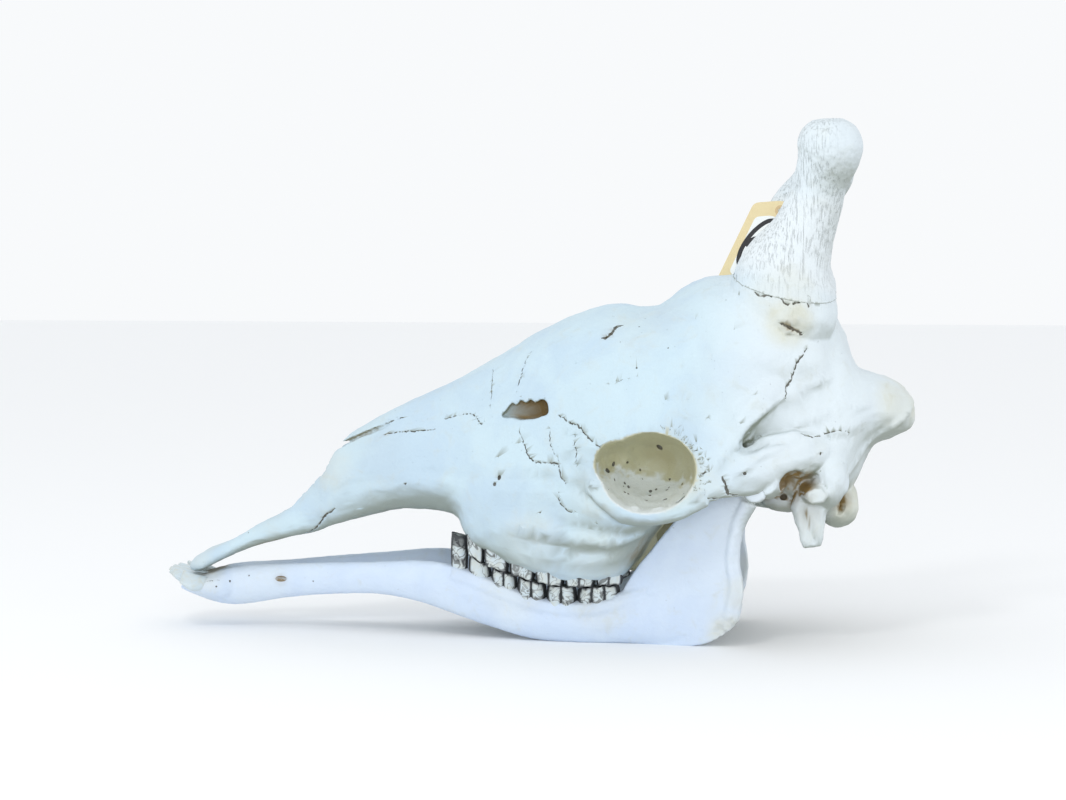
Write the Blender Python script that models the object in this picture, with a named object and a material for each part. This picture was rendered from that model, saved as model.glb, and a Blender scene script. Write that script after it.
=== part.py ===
"""Giraffe skull with its lower jaw, life size, standing on the lower edges of the jaw as it does on a table.

The nose points to -X, the left side of the head to -Y and up is +Z. Sizes below are in millimetres.
Each bone is lofted, fused into one skin, carved and thinned to few faces, then its teeth are fused on.
"""

import math
import random

import bmesh
import bpy
import numpy as np
from mathutils import Matrix, Vector
from mathutils.bvhtree import BVHTree

MM = 0.001
GAP = 0.3  # left between pieces that touch

# Voxel sizes and face counts of the fused bones
CRANIUM_VOXEL = 2.2
JAW_VOXEL = 2.0
CRANIUM_FACES = 6900
JAW_FACES = 1750
OSSICONE_FACES = 520

# Cranium from the nose to the back of the head. Each row is x, the height of the roof on the midline,
# six points (half width, height) down the left side, and the height of the base on the midline.
CRANIUM_SECTIONS = [
    (-330, 60, (8, 60), (18, 60), (25, 58), (25, 53), (19, 49), (9, 48), 48),
    (-323, 73, (10, 73), (24, 71), (31, 63), (31, 54), (24, 48), (11, 47), 47),
    (-297, 84, (12, 84), (25, 82), (31, 74), (30, 66), (25, 61), (13, 59), 59),
    (-271, 99, (12, 99), (23, 97), (28, 88), (28, 79), (23, 73), (13, 72), 72),
    (-237, 117, (12, 117), (20, 115), (27, 104), (29, 91), (24, 82), (14, 81), 82),
    (-207, 146, (12, 147), (23, 142), (30, 125), (31, 105), (26, 93), (14, 91), 92),
    (-190, 172, (14, 171), (23, 163), (32, 146), (34, 120), (27, 100), (14, 98), 98),
    (-160, 193, (17, 191), (29, 178), (39, 157), (41, 131), (31, 110), (15, 106), 107),
    (-125, 211, (20, 208), (34, 192), (45, 166), (48, 138), (35, 118), (17, 114), 116),
    (-90, 227, (24, 222), (42, 202), (55, 172), (59, 140), (43, 117), (20, 113), 118),
    (-74, 235, (28, 229), (48, 207), (60, 175), (64, 140), (51, 113), (29, 108), 117),
    (-62, 242, (31, 235), (52, 211), (65, 179), (70, 139), (62, 95), (37, 91), 114),
    (-45, 251, (36, 244), (58, 217), (72, 183), (79, 138), (70, 86), (39, 86), 112),
    (-15, 270, (48, 260), (70, 230), (84, 190), (89, 138), (76, 73), (41, 72), 108),
    (20, 289, (58, 276), (82, 242), (97, 198), (97, 140), (80, 64), (43, 64), 106),
    (50, 300, (66, 285), (93, 248), (112, 205), (105, 138), (81, 63), (43, 63), 106),
    (75, 304, (72, 288), (102, 250), (122, 207), (114, 136), (79, 65), (42, 65), 107),
    (93, 301, (76, 286), (107, 250), (126, 206), (119, 132), (72, 80), (39, 78), 109),
    (112, 304, (77, 289), (109, 252), (126, 204), (121, 132), (64, 104), (38, 102), 113),
    (130, 319, (76, 298), (110, 256), (124, 200), (119, 137), (55, 122), (36, 116), 118),
    (150, 328, (72, 310), (106, 262), (117, 195), (106, 152), (50, 132), (32, 122), 121),
    (170, 330, (70, 316), (99, 270), (110, 210), (100, 174), (54, 136), (30, 123), 121),
    (205, 334, (70, 322), (98, 278), (97, 228), (90, 184), (54, 138), (30, 121), 119),
    (232, 329, (68, 316), (93, 272), (90, 230), (84, 184), (62, 135), (30, 117), 116),
    (254, 313, (58, 304), (82, 265), (80, 228), (78, 184), (65, 138), (32, 117), 115),
    (266, 297, (48, 290), (70, 258), (75, 225), (78, 185), (66, 142), (34, 119), 117),
    (277, 278, (44, 272), (64, 250), (72, 222), (74, 185), (59, 148), (30, 128), 124),
    (288, 249, (36, 248), (56, 240), (68, 216), (66, 189), (50, 160), (26, 146), 141),
    (303, 241, (28, 240), (47, 232), (56, 215), (53, 197), (40, 182), (20, 175), 173),
    (322, 235, (20, 234), (36, 227), (44, 213), (42, 199), (31, 188), (15, 184), 183),
    (336, 222, (11, 222), (22, 216), (27, 207), (25, 199), (17, 192), (8, 190), 190),
    (342, 209, (4, 209), (8, 207), (10, 204), (8, 201), (6, 199), (3, 198), 198),
]

# Ossicone from inside the skull up to its knob: x, half spacing, z, half widths across the head and along it
LEFT_OSSICONE = [
    (226, 56, 258, 26, 34), (224, 57, 288, 38, 46), (222, 59, 319, 37, 47), (225, 61, 337, 33, 42),
    (231, 63, 352, 29, 36), (241, 66, 373, 25, 28), (250, 70, 398, 22, 25), (255, 73, 416, 22, 24),
    (261, 76, 433, 25, 27), (263, 77, 447, 27, 29), (264, 78, 458, 25, 26), (265, 78, 469, 14, 16),
]
RIGHT_OSSICONE = [
    (226, 56, 258, 26, 34), (224, 57, 288, 38, 46), (221, 59, 319, 38, 49), (223, 61, 337, 35, 45),
    (227, 63, 352, 31, 39), (233, 65, 373, 27, 34), (241, 68, 393, 23, 30), (252, 71, 410, 23, 26),
    (259, 73, 423, 26, 27), (260, 74, 435, 28, 27), (259, 75, 446, 24, 24), (256, 75, 453, 12, 14),
]
# Plane that parts an ossicone from the skull, as a point and how far it falls outward and backward
SUTURE_POINT = (222, 60, 322)
SUTURE_FALL_OUT = 0.28
SUTURE_FALL_BACK = 0.22

# Upper and lower cheek teeth from front to back: front edge x, back edge x, half spacing, half width, lobes
UPPER_TEETH = [
    (-63, -47, 57, 8.5, 1), (-46, -24, 61, 10, 1), (-22, 0, 64, 11, 1),
    (1.5, 27, 66, 13, 2), (28.5, 55, 66.5, 13.5, 2), (56.5, 80, 65, 12, 2),
]
LOWER_TEETH = [
    (-78, -63, 50, 6, 1), (-61, -41, 54, 7.5, 1), (-39.5, -17, 58, 9, 2),
    (-15.5, 10, 61, 10, 2), (11.5, 38, 63, 10.5, 2), (39.5, 77, 64, 10, 3),
]
# Where the rows meet and where the gums were, as heights against x
BITE_LINE = [
    (-80, 97), (-63, 93), (-61, 76), (-47, 69), (-28, 62), (-5, 55.5), (20, 51.5), (45, 50.5), (80, 53),
]
UPPER_GUM = [(-64, 94), (-47, 87), (-28, 79), (-8, 73), (13, 68), (31, 66), (57, 66), (82, 68)]
LOWER_GUM = [(-80, 66), (-64, 61), (-45, 53), (-22, 44), (1, 37), (31, 34), (57, 36), (80, 42)]

# Front teeth of one side: where the root leaves the bone, the middle and the tip, half widths there,
# and which way the broad face looks, as across the head and up
FRONT_TEETH = [
    ((-318, 5, 42), (-339, 6, 47), (-351, 6.5, 53), (5.5, 6.5, 5), (0, 1)),
    ((-317, 13, 42), (-337, 17, 47), (-348, 19, 53), (5.5, 6.5, 5), (-0.2, 1)),
    ((-315, 20, 42), (-332, 27, 47), (-342, 30, 53), (5.5, 7, 5.5), (-0.5, 1)),
    ((-310, 24, 41), (-323, 34, 44), (-332, 39, 50), (7, 10, 8), (-0.9, 0.9)),
]

# Ramus of the jaw seen from the side, as x and z
RAMUS_OUTLINE = [
    (70, -1), (135, -1), (161, 5), (178, 18), (187, 37), (189, 56), (184, 80), (186, 106), (196, 128),
    (204, 140), (196, 146), (186, 138), (178, 146), (173, 164), (166, 176), (158, 176), (149, 158),
    (138, 126), (112, 93), (90, 64), (76, 36),
]

# Tag of the collection, as x and z in its own plane, the place of its foot and its slant seen from the side
TAG_OUTLINE = [(0, 0), (12, 0), (52, 22), (52, 86), (29, 100), (23, 100), (0, 86)]
TAG_HOLE = (26, 90)
TAG_THICK = 0.9
TAG_FOOT = (160, 4, 324)
TAG_SLANT = 25
TAG_MOST_LEAN = 45
SHARP_ANGLE = 50


def clear_scene():
    for obj in list(bpy.data.objects):
        bpy.data.objects.remove(obj)


def paint(name, colour, roughness):
    material = bpy.data.materials.new(name)
    material.use_nodes = True
    shader = material.node_tree.nodes["Principled BSDF"]
    shader.inputs["Base Color"].default_value = (*colour, 1)
    shader.inputs["Roughness"].default_value = roughness
    return material


def finish(obj, material):
    obj.data.materials.clear()
    obj.data.materials.append(material)
    obj.data.shade_smooth()
    obj.data.set_sharp_from_angle(angle=math.radians(SHARP_ANGLE))


def link_mesh(name, mesh):
    obj = bpy.data.objects.new(name, mesh)
    bpy.context.scene.collection.objects.link(obj)
    return obj


def add_object(name, points, faces):
    """A closed mesh object from points in millimetres, its faces turned outward."""
    shape = bmesh.new()
    corners = [shape.verts.new(Vector(point) * MM) for point in points]
    for face in faces:
        shape.faces.new([corners[i] for i in face])
    bmesh.ops.recalc_face_normals(shape, faces=shape.faces)
    if shape.calc_volume(signed=True) < 0:
        bmesh.ops.reverse_faces(shape, faces=shape.faces)
    mesh = bpy.data.meshes.new(name)
    shape.to_mesh(mesh)
    shape.free()
    return link_mesh(name, mesh)


def smooth_through(keys, steps, closed):
    """Catmull-Rom curve through keys, an array whose first axis runs along the curve."""
    count = len(keys)
    out = []
    for span in range(count if closed else count - 1):
        b, c = keys[span], keys[(span + 1) % count]
        a = keys[span - 1] if closed or span else 2 * b - c
        d = keys[(span + 2) % count] if closed or span + 2 < count else 2 * c - b
        for step in range(steps):
            t = step / steps
            curve = 2 * b + (c - a) * t + (2 * a - 5 * b + 4 * c - d) * t**2 + (3 * b - a - 3 * c + d) * t**3
            out.append(curve / 2)
    if not closed:
        out.append(keys[-1])
    return np.array(out)


def loft(name, sections, along=3, around=3):
    """Closed skin through sections, which are rings with the same number of points."""
    rings = smooth_through(np.array(sections, float), along, closed=False)
    rings = np.array([smooth_through(ring, around, closed=True) for ring in rings])
    count, size = rings.shape[:2]
    points = [tuple(point) for ring in rings for point in ring]
    faces = []
    for i in range(count - 1):
        for j in range(size):
            k = (j + 1) % size
            faces.append((i * size + j, i * size + k, (i + 1) * size + k, (i + 1) * size + j))
    for ring in (0, count - 1):
        points.append(tuple(rings[ring].mean(axis=0)))
        middle = len(points) - 1
        faces += [(ring * size + j, ring * size + (j + 1) % size, middle) for j in range(size)]
    return add_object(name, points, faces)


def mirrored_ring(x, roof, *rest):
    """Ring across the head from the roof down the left side, over the base and up the right side."""
    *side, base = rest
    left = [(-y, z) for y, z in side]
    right = [(y, z) for y, z in reversed(side)]
    return [(x, y, z) for y, z in [(0, roof), *left, (0, base), *right]]


def limb(name, path, along=3, around=3, up=(0, 0, 1)):
    """Skin along a path of (x, y, z, half width, half height), the height lying near the given direction."""
    path = np.array(path, float)
    rings = []
    for i, row in enumerate(path):
        ahead, behind = path[min(i + 1, len(path) - 1)], path[max(i - 1, 0)]
        run = Vector(ahead[:3] - behind[:3]).normalized()
        across = run.cross(Vector(up)).normalized()
        rise = across.cross(run)
        angles = [corner * math.tau / 8 for corner in range(8)]
        wide, high = across * row[3], rise * row[4]
        rings.append([Vector(row[:3]) + wide * math.cos(a) + high * math.sin(a) for a in angles])
    return loft(name, rings, along, around)


def ball(name, centre, radii, turn=(0, 0, 0)):
    """Ellipsoid with its half sizes, turned by degrees about X, then Y, then Z."""
    shape = bmesh.new()
    bmesh.ops.create_uvsphere(shape, u_segments=28, v_segments=18, radius=1)
    place = Matrix.Translation(centre)
    for angle, axis in zip(reversed(turn), "ZYX"):
        place = place @ Matrix.Rotation(math.radians(angle), 4, axis)
    shape.transform(Matrix.Scale(MM, 4) @ place @ Matrix.Diagonal((*radii, 1)))
    mesh = bpy.data.meshes.new(name)
    shape.to_mesh(mesh)
    shape.free()
    return link_mesh(name, mesh)


def slab(name, outline, thick, middle, lean_x, lean_z):
    """Plate from an outline in x and z. Its middle plane is y = middle + lean_x * x + lean_z * z."""
    corners = smooth_through(np.array(outline, float), 3, closed=True)
    points = []
    for side in (-0.5, 0.5):
        points += [(x, middle + lean_x * x + lean_z * z + side * thick, z) for x, z in corners]
    size = len(corners)
    faces = [tuple(range(size)), tuple(range(2 * size - 1, size - 1, -1))]
    faces += [(j, (j + 1) % size, size + (j + 1) % size, size + j) for j in range(size)]
    return add_object(name, points, faces)


def other_side(obj):
    """Mirror image of a left piece, for the right side of the head."""
    mesh = obj.data.copy()
    mesh.transform(Matrix.Diagonal((1, -1, 1, 1)))
    mesh.flip_normals()
    return link_mesh(obj.name + "_right", mesh)


def both_sides(pieces):
    return pieces + [other_side(piece) for piece in pieces]


def apply_modifier(obj, kind, **settings):
    modifier = obj.modifiers.new(kind.title(), kind)
    for key, value in settings.items():
        setattr(modifier, key, value)
    graph = bpy.context.evaluated_depsgraph_get()
    mesh = bpy.data.meshes.new_from_object(obj.evaluated_get(graph))
    obj.modifiers.clear()
    old = obj.data
    obj.data = mesh
    bpy.data.meshes.remove(old)


def join_into(name, pieces):
    """One object holding the faces of all pieces, which are removed."""
    shape = bmesh.new()
    for piece in pieces:
        shape.from_mesh(piece.data)
        bpy.data.objects.remove(piece)
    mesh = bpy.data.meshes.new(name)
    shape.to_mesh(mesh)
    shape.free()
    return link_mesh(name, mesh)


def fuse(name, pieces, voxel, smooth):
    """One skin round overlapping pieces, with soft inner corners."""
    obj = join_into(name, pieces)
    apply_modifier(obj, "REMESH", mode="VOXEL", voxel_size=voxel * MM)
    apply_modifier(obj, "SMOOTH", factor=0.5, iterations=smooth)
    return obj


def carve(obj, cutters, solver="MANIFOLD"):
    """Cuts every cutter out of the bone. The exact solver is slow on dense skins."""
    for cutter in cutters:
        apply_modifier(obj, "BOOLEAN", operation="DIFFERENCE", solver=solver, object=cutter)
        bpy.data.objects.remove(cutter)


def fuse_teeth(obj, teeth):
    """Joins a row of closed teeth onto its bone in one union."""
    row = bpy.data.collections.new("teeth")
    bpy.context.scene.collection.children.link(row)
    for tooth in teeth:
        row.objects.link(tooth)
    source = {"operand_type": "COLLECTION", "collection": row}
    apply_modifier(obj, "BOOLEAN", operation="UNION", solver="EXACT", **source)
    for tooth in teeth:
        bpy.data.objects.remove(tooth)
    bpy.data.collections.remove(row)


def thin_out(obj, faces):
    obj.data.calc_loop_triangles()
    share = faces / len(obj.data.loop_triangles)
    if share < 1:
        apply_modifier(obj, "DECIMATE", ratio=share, use_collapse_triangulate=True)


def keep_largest(obj):
    """Drops every loose surface but the largest."""
    shape = bmesh.new()
    shape.from_mesh(obj.data)
    shape.faces.ensure_lookup_table()
    unseen, groups = set(shape.faces), []
    while unseen:
        front = [unseen.pop()]
        group = list(front)
        while front:
            face = front.pop()
            near = {other for edge in face.edges for other in edge.link_faces} & unseen
            unseen -= near
            front += near
            group += near
        groups.append(group)
    groups.sort(key=lambda group: sum(face.calc_area() for face in group))
    for group in groups[:-1]:
        bmesh.ops.delete(shape, geom=group, context="FACES")
    bmesh.ops.delete(shape, geom=[v for v in shape.verts if not v.link_faces], context="VERTS")
    shape.to_mesh(obj.data)
    shape.free()


def swollen_copy(obj, grow):
    """Copy of a piece whose skin is moved outward, used to cut a seat for it."""
    shape = bmesh.new()
    shape.from_mesh(obj.data)
    shape.normal_update()
    moves = [(vert, vert.normal * vert.calc_shell_factor() * grow * MM) for vert in shape.verts]
    for vert, move in moves:
        vert.co += move
    mesh = bpy.data.meshes.new(obj.name + "_seat")
    shape.to_mesh(mesh)
    shape.free()
    return link_mesh(obj.name + "_seat", mesh)


def height_at(line, x):
    xs, zs = zip(*line)
    return float(np.interp(x, xs, zs))


def cheek_tooth(name, row, side, root, bite, seed):
    """Crown with rounded lobes from inside the bone to the flat bite. root and bite are height lines."""
    front, back, spacing, half, lobes = row
    spread = random.Random(seed)
    length = back - front
    around = 7 * lobes + 3
    rings = []
    for level, swell in ((0, 0.9), (0.55, 1), (0.85, 0.97), (1, 0.86)):
        ring = []
        for step in range(around):
            angle = math.tau * step / around
            along = -math.cos(angle)
            wide = math.copysign(abs(math.sin(angle)) ** 0.6, math.sin(angle))
            lobe = abs(math.cos(math.pi * lobes * (along + 1) / 2 + math.pi / 2))
            waist = 1 - 0.28 * (1 - lobe) if lobes > 1 else 1
            x = front + length * (0.5 + 0.5 * along * swell)
            y = side * (spacing + half * wide * waist * swell)
            z = (1 - level) * height_at(root, x) + level * height_at(bite, x)
            wear = spread.uniform(-0.25, 0.25) if 0 < level < 1 else 0
            ring.append((x, y + wear, z))
        rings.append(ring)
    return loft(name, rings, along=1, around=1)


def lifted(line, rise):
    return [(x, z + rise) for x, z in line]


def cheek_teeth(rows, gum, sink, meet, label):
    """Both rows of one jaw, sunk into the bone by sink and ending off the middle of the bite by meet."""
    teeth = []
    for side in (-1, 1):
        for index, row in enumerate(rows):
            name = f"{label}_{index}_{side}"
            root, bite = lifted(gum, sink), lifted(BITE_LINE, meet)
            teeth.append(cheek_tooth(name, row, side, root, bite, f"{label}{index}{side}"))
    return teeth


def front_teeth():
    teeth = []
    for side in (-1, 1):
        for index, (root, middle, tip, widths, face) in enumerate(FRONT_TEETH):
            path = []
            for point, width, thick in zip((root, middle, tip), widths, (6, 5.5, 1.8)):
                path.append((point[0], side * point[1], point[2], width, thick))
            start = 2 * np.array(path[0]) - np.array(path[1])
            start[3:] = path[0][3:]
            up = (0, -side * face[0], face[1])
            teeth.append(limb(f"front_{index}_{side}", [start, *path], along=2, around=1, up=up))
    return teeth


def cranium_forms():
    """Bone masses of the cranium before carving."""
    vault = loft("vault", [mirrored_ring(*row) for row in CRANIUM_SECTIONS], along=4, around=3)
    post = limb("postorbital", [
        (150, -82, 240, 20, 24), (158, -97, 212, 16, 28), (162, -107, 184, 12, 27), (160, -112, 160, 9, 22),
        (152, -114, 139, 6, 14)], up=(1, 0, 0))
    brow = limb("temporal_line", [
        (150, -102, 176, 10, 18), (170, -101, 196, 11, 20), (190, -94, 218, 11, 20), (212, -87, 238, 11, 18),
        (236, -76, 252, 10, 14)], up=(-0.7, 0, 0.7))
    rim = limb("lower_rim", [
        (34, -80, 160, 10, 16), (60, -98, 143, 12, 16), (86, -111, 127, 10, 14), (110, -118, 124, 8, 11),
        (135, -120, 129, 6, 10), (155, -118, 140, 6, 10)])
    arch = limb("arch", [
        (140, -117, 138, 6, 9), (166, -114, 150, 7, 14), (190, -106, 158, 11, 21), (214, -94, 168, 15, 23),
        (238, -80, 175, 17, 22), (256, -68, 178, 14, 20)])
    ridge = limb("cheek_ridge", [
        (0, -78, 100, 8, 10), (40, -84, 98, 8, 10), (80, -91, 107, 9, 10), (112, -100, 122, 8, 9)])
    tuber = ball("tuber", (88, -46, 90), (16, 12, 18))
    side = both_sides([post, brow, rim, arch, ridge, tuber, *rear_forms()])
    return [vault, ossicone_form("pedestal", -1), ossicone_form("pedestal_right", 1)] + side


def rear_forms():
    """Left masses round the ear, the joint of the neck and the plates behind the palate."""
    condyle = ball("condyle", (272, -27, 124), (20, 17, 22), (0, -20, 20))
    bulla = ball("bulla", (222, -47, 132), (22, 14, 14), (0, 10, 0))
    ear = limb("ear_tube", [(246, -64, 140, 10, 9), (252, -80, 138, 10, 9), (253, -90, 137, 9, 8)])
    mastoid = ball("mastoid", (264, -66, 150), (16, 18, 26))
    process = limb("process", [
        (250, -64, 142, 9, 14), (247, -66, 126, 7, 17), (248, -67, 110, 5, 13), (249, -67, 97, 4, 11),
        (250, -67, 88, 2, 9)], up=(1, 0, 0))
    joint = limb("jaw_joint", [(208, -66, 146, 18, 13), (207, -88, 147, 18, 13), (205, -104, 150, 14, 12)])
    plate = limb("plate", [
        (90, -26, 112, 4, 18), (110, -26, 108, 3.5, 22), (135, -26, 108, 3.2, 20), (165, -27, 118, 4, 14)])
    return [condyle, bulla, ear, mastoid, process, joint, plate]


def cranium_cutters():
    """Openings of the cranium: nose, eye sockets, temples, choanae and the hole for the spinal cord."""
    nose = loft("nose", [
        mirrored_ring(-330, 115, (17, 112), (19, 90), (16, 66), 64),
        mirrored_ring(-300, 135, (17, 130), (20, 100), (16, 76), 74),
        mirrored_ring(-260, 165, (17, 160), (19, 120), (17, 93), 90),
        mirrored_ring(-221, 205, (20, 200), (23, 138), (19, 103), 101),
        mirrored_ring(-203, 205, (24, 190), (28, 145), (20, 108), 106),
        mirrored_ring(-188, 178, (12, 174), (26, 145), (21, 113), 111),
        mirrored_ring(-130, 200, (18, 190), (34, 155), (24, 126), 122),
        mirrored_ring(-92, 204, (12, 196), (22, 165), (14, 140), 136),
    ])
    slit = limb("tip_slit", [
        (-335, 0, 60, 3.5, 30), (-300, 0, 70, 6, 30), (-270, 0, 80, 9, 30), (-240, 0, 90, 5, 30)])
    notch = limb("nasal_notch", [(-200, -34, 160, 12, 2), (-165, -40, 176, 9, 1.6), (-128, -46, 193, 5, 1.2)])
    socket = ball("socket", (106, -124, 160), (42, 66, 35), (0, -8, 0))
    corner = ball("socket_corner", (80, -124, 168), (22, 54, 21))
    temple = ball("temple", (219, -130, 203), (52, 38, 17), (0, -36, 0))
    passage = ball("passage", (172, -83, 140), (20, 11, 45))
    vacuity = ball("vacuity", (-6, -82, 208), (17, 18, 8), (0, -6, 0))
    ear = ball("ear_hole", (232, -92, 150), (13, 16, 12), (0, -20, 0))
    choana = limb("choana", [
        (80, 0, 118, 15, 14), (110, 0, 128, 16, 20), (150, 0, 118, 15, 14), (170, 0, 108, 14, 10)])
    cord = limb("cord_hole", [(225, 0, 143, 14, 12), (262, 0, 143, 15, 14), (305, 0, 142, 17, 17)])
    return [nose, slit, choana, cord] + both_sides([notch, socket, corner, temple, passage, vacuity, ear])


def ossicone_form(name, side):
    rows = LEFT_OSSICONE if side < 0 else RIGHT_OSSICONE
    path = [(x, side * y, z, across, along) for x, y, z, across, along in rows]
    return limb(name, path, up=(1, 0, 0), along=3, around=3)


def suture_block(name, side):
    """Half space below the parting plane of an ossicone, as a large block."""
    x, y, z = SUTURE_POINT
    normal = Vector((SUTURE_FALL_BACK, side * SUTURE_FALL_OUT, 1)).normalized()
    shape = bmesh.new()
    bmesh.ops.create_cube(shape, size=1)
    reach = 400 * MM
    place = Matrix.Translation(Vector((x, side * y, z)) * MM)
    place = place @ normal.to_track_quat("Z", "X").to_matrix().to_4x4()
    shape.transform(place @ Matrix.Translation((0, 0, -0.5 * reach)) @ Matrix.Scale(reach, 4))
    mesh = bpy.data.meshes.new(name)
    shape.to_mesh(mesh)
    shape.free()
    return link_mesh(name, mesh)


def build_ossicone(name, side, material):
    horn = ossicone_form(name, side)
    apply_modifier(horn, "REMESH", mode="VOXEL", voxel_size=CRANIUM_VOXEL * MM)
    carve(horn, [suture_block("below", side)])
    thin_out(horn, OSSICONE_FACES)
    finish(horn, material)
    return horn


def build_cranium():
    bone = fuse("cranium", cranium_forms(), CRANIUM_VOXEL, 6)
    carve(bone, cranium_cutters())
    apply_modifier(bone, "REMESH", mode="VOXEL", voxel_size=CRANIUM_VOXEL * MM)
    apply_modifier(bone, "SMOOTH", factor=0.5, iterations=3)
    thin_out(bone, CRANIUM_FACES)
    fuse_teeth(bone, cheek_teeth(UPPER_TEETH, UPPER_GUM, 12, GAP / 2, "upper"))
    return bone


def jaw_forms():
    body = limb("jaw_body", [
        (-334, -13, 39, 12, 5), (-308, -15, 38, 15, 14), (-283, -14, 39, 12, 18), (-240, -15, 44, 9, 16),
        (-200, -24, 48, 8, 15), (-150, -35, 51, 8, 15), (-109, -43, 50, 9, 19), (-76, -49, 44, 10, 22),
        (-43, -54, 34, 11.5, 22), (0, -60, 21, 12.5, 20), (40, -63, 17, 12.5, 19), (80, -66, 20, 11.5, 21),
        (120, -71, 26, 8.5, 26), (150, -76, 36, 4.5, 28), (172, -80, 42, 2.5, 24)])
    shelf = limb("tooth_shelf", [
        (-76, -49, 57, 10, 9), (-43, -54, 47, 12, 10), (-15, -58, 36, 12.5, 10), (10, -61, 29, 12.5, 10),
        (35, -63, 27, 12.5, 10), (60, -64.5, 29, 12.5, 10), (85, -66, 37, 10, 11), (104, -69, 44, 6, 10)])
    fan = limb("tooth_bed", [
        (-334, -20, 40, 13, 4), (-318, -21, 38, 15, 9), (-302, -19, 38, 15, 13), (-285, -14, 42, 10, 15)])
    ramus = slab("ramus", RAMUS_OUTLINE, 11, -46, -0.19, -0.03)
    condyle = limb("jaw_condyle", [(198, -76, 139, 9, 7), (199, -90, 140, 10, 8), (200, -106, 139, 9, 7)])
    rear = limb("rear_edge", [
        (156, -77, 12, 5, 9), (177, -82, 28, 5.5, 9), (182, -84, 56, 6, 7), (179, -84, 80, 6, 7),
        (183, -86, 108, 6, 7), (194, -90, 132, 7, 8)], up=(1, 0, 0))
    return [body, shelf, fan, ramus, condyle, rear]


def half_space(name, x=0, y=0, z=0):
    """Block that fills everything beyond the origin plane on the side given by a sign along one axis."""
    shape = bmesh.new()
    bmesh.ops.create_cube(shape, size=1)
    shape.transform(Matrix.Translation(Vector((x, y, z)) * 0.5) @ Matrix.Scale(1, 4))
    mesh = bpy.data.meshes.new(name)
    shape.to_mesh(mesh)
    shape.free()
    return link_mesh(name, mesh)


def build_jaw(material):
    """The jaw is made whole, then parted on the midline into its two bones."""
    whole = fuse("jaw", both_sides(jaw_forms()), JAW_VOXEL, 5)
    thin_out(whole, JAW_FACES * 2)
    fuse_teeth(whole, cheek_teeth(LOWER_TEETH, LOWER_GUM, -12, -GAP / 2, "lower") + front_teeth())
    carve(whole, [half_space("floor", z=-1)], solver="EXACT")
    halves = []
    for name, sign in (("mandible_left", 1), ("mandible_right", -1)):
        half = link_mesh(name, whole.data.copy())
        cutter = half_space("midline", y=sign)
        cutter.data.transform(Matrix.Translation((0, -sign * GAP / 2 * MM, 0)))
        carve(half, [cutter], solver="EXACT")
        keep_largest(half)
        finish(half, material)
        halves.append(half)
    bpy.data.objects.remove(whole)
    return halves


def tag_blank():
    """Card outline with cut corners and a hole for a string, drawn flat and given its thickness."""
    shape = bmesh.new()
    corners = [shape.verts.new(Vector((x, 0, z)) * MM) for x, z in TAG_OUTLINE]
    face = shape.faces.new(corners)
    pushed = bmesh.ops.extrude_face_region(shape, geom=[face])["geom"]
    moved = [vert for vert in pushed if isinstance(vert, bmesh.types.BMVert)]
    bmesh.ops.translate(shape, vec=(0, TAG_THICK * MM, 0), verts=moved)
    bmesh.ops.recalc_face_normals(shape, faces=shape.faces)
    mesh = bpy.data.meshes.new("specimen_tag")
    shape.to_mesh(mesh)
    shape.free()
    tag = link_mesh("specimen_tag", mesh)
    x, z = TAG_HOLE
    bore = limb("tag_hole", [(x, -9, z, 3, 3), (x, 0, z, 3, 3), (x, 9, z, 3, 3)], along=1, around=2)
    carve(tag, [bore], solver="EXACT")
    return tag


def skin_tree(obj):
    shape = bmesh.new()
    shape.from_mesh(obj.data)
    tree = BVHTree.FromBMesh(shape)
    shape.free()
    return tree


def build_tag(horn, material):
    """Card tag standing on the brow between the ossicones and leaning back until it meets the right one."""
    tag = tag_blank()
    flat = tag.data.copy()
    seat = swollen_copy(horn, GAP)
    horn_skin = skin_tree(seat)
    bpy.data.objects.remove(seat)
    foot = Matrix.Translation(Vector(TAG_FOOT) * MM) @ Matrix.Rotation(math.radians(TAG_SLANT), 4, "Y")
    lean = TAG_MOST_LEAN
    while lean > 0:
        mesh = flat.copy()
        mesh.transform(foot @ Matrix.Rotation(math.radians(-lean), 4, "X"))
        tag.data = mesh
        if not skin_tree(tag).overlap(horn_skin):
            break
        lean -= 0.5
    finish(tag, material)
    return tag


def centre(pieces):
    """Moves all pieces alike, so that the middle of their box is over the origin."""
    corners = np.array([vert.co for piece in pieces for vert in piece.data.vertices])
    x, y, _ = (corners.min(axis=0) + corners.max(axis=0)) / 2
    for piece in pieces:
        piece.data.transform(Matrix.Translation((-x, -y, 0)))


def main():
    clear_scene()
    horn_bone = paint("ossicone_bone", (0.88, 0.89, 0.89), 0.6)
    horns = [build_ossicone("ossicone_left", -1, horn_bone), build_ossicone("ossicone_right", 1, horn_bone)]
    jaws = build_jaw(paint("jaw_bone", (0.80, 0.85, 0.89), 0.5))
    tag = build_tag(horns[1], paint("tag_card", (0.8, 0.68, 0.42), 0.7))
    cranium = build_cranium()
    carve(cranium, [swollen_copy(piece, GAP) for piece in horns + jaws + [tag]])
    keep_largest(cranium)
    finish(cranium, paint("skull_bone", (0.86, 0.88, 0.88), 0.55))
    centre([cranium, tag] + horns + jaws)


main()
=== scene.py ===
# Looks of a giraffe skull: fine bone skins, teeth, seams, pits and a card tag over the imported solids.
# Sizes are in millimetres unless a name says otherwise; the nose points to -X and the left side to -Y.
import math
import random
import time

import bmesh
import bpy
import numpy as np
from mathutils import Matrix, Vector, noise
from mathutils.bvhtree import BVHTree
from mathutils.kdtree import KDTree


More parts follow.
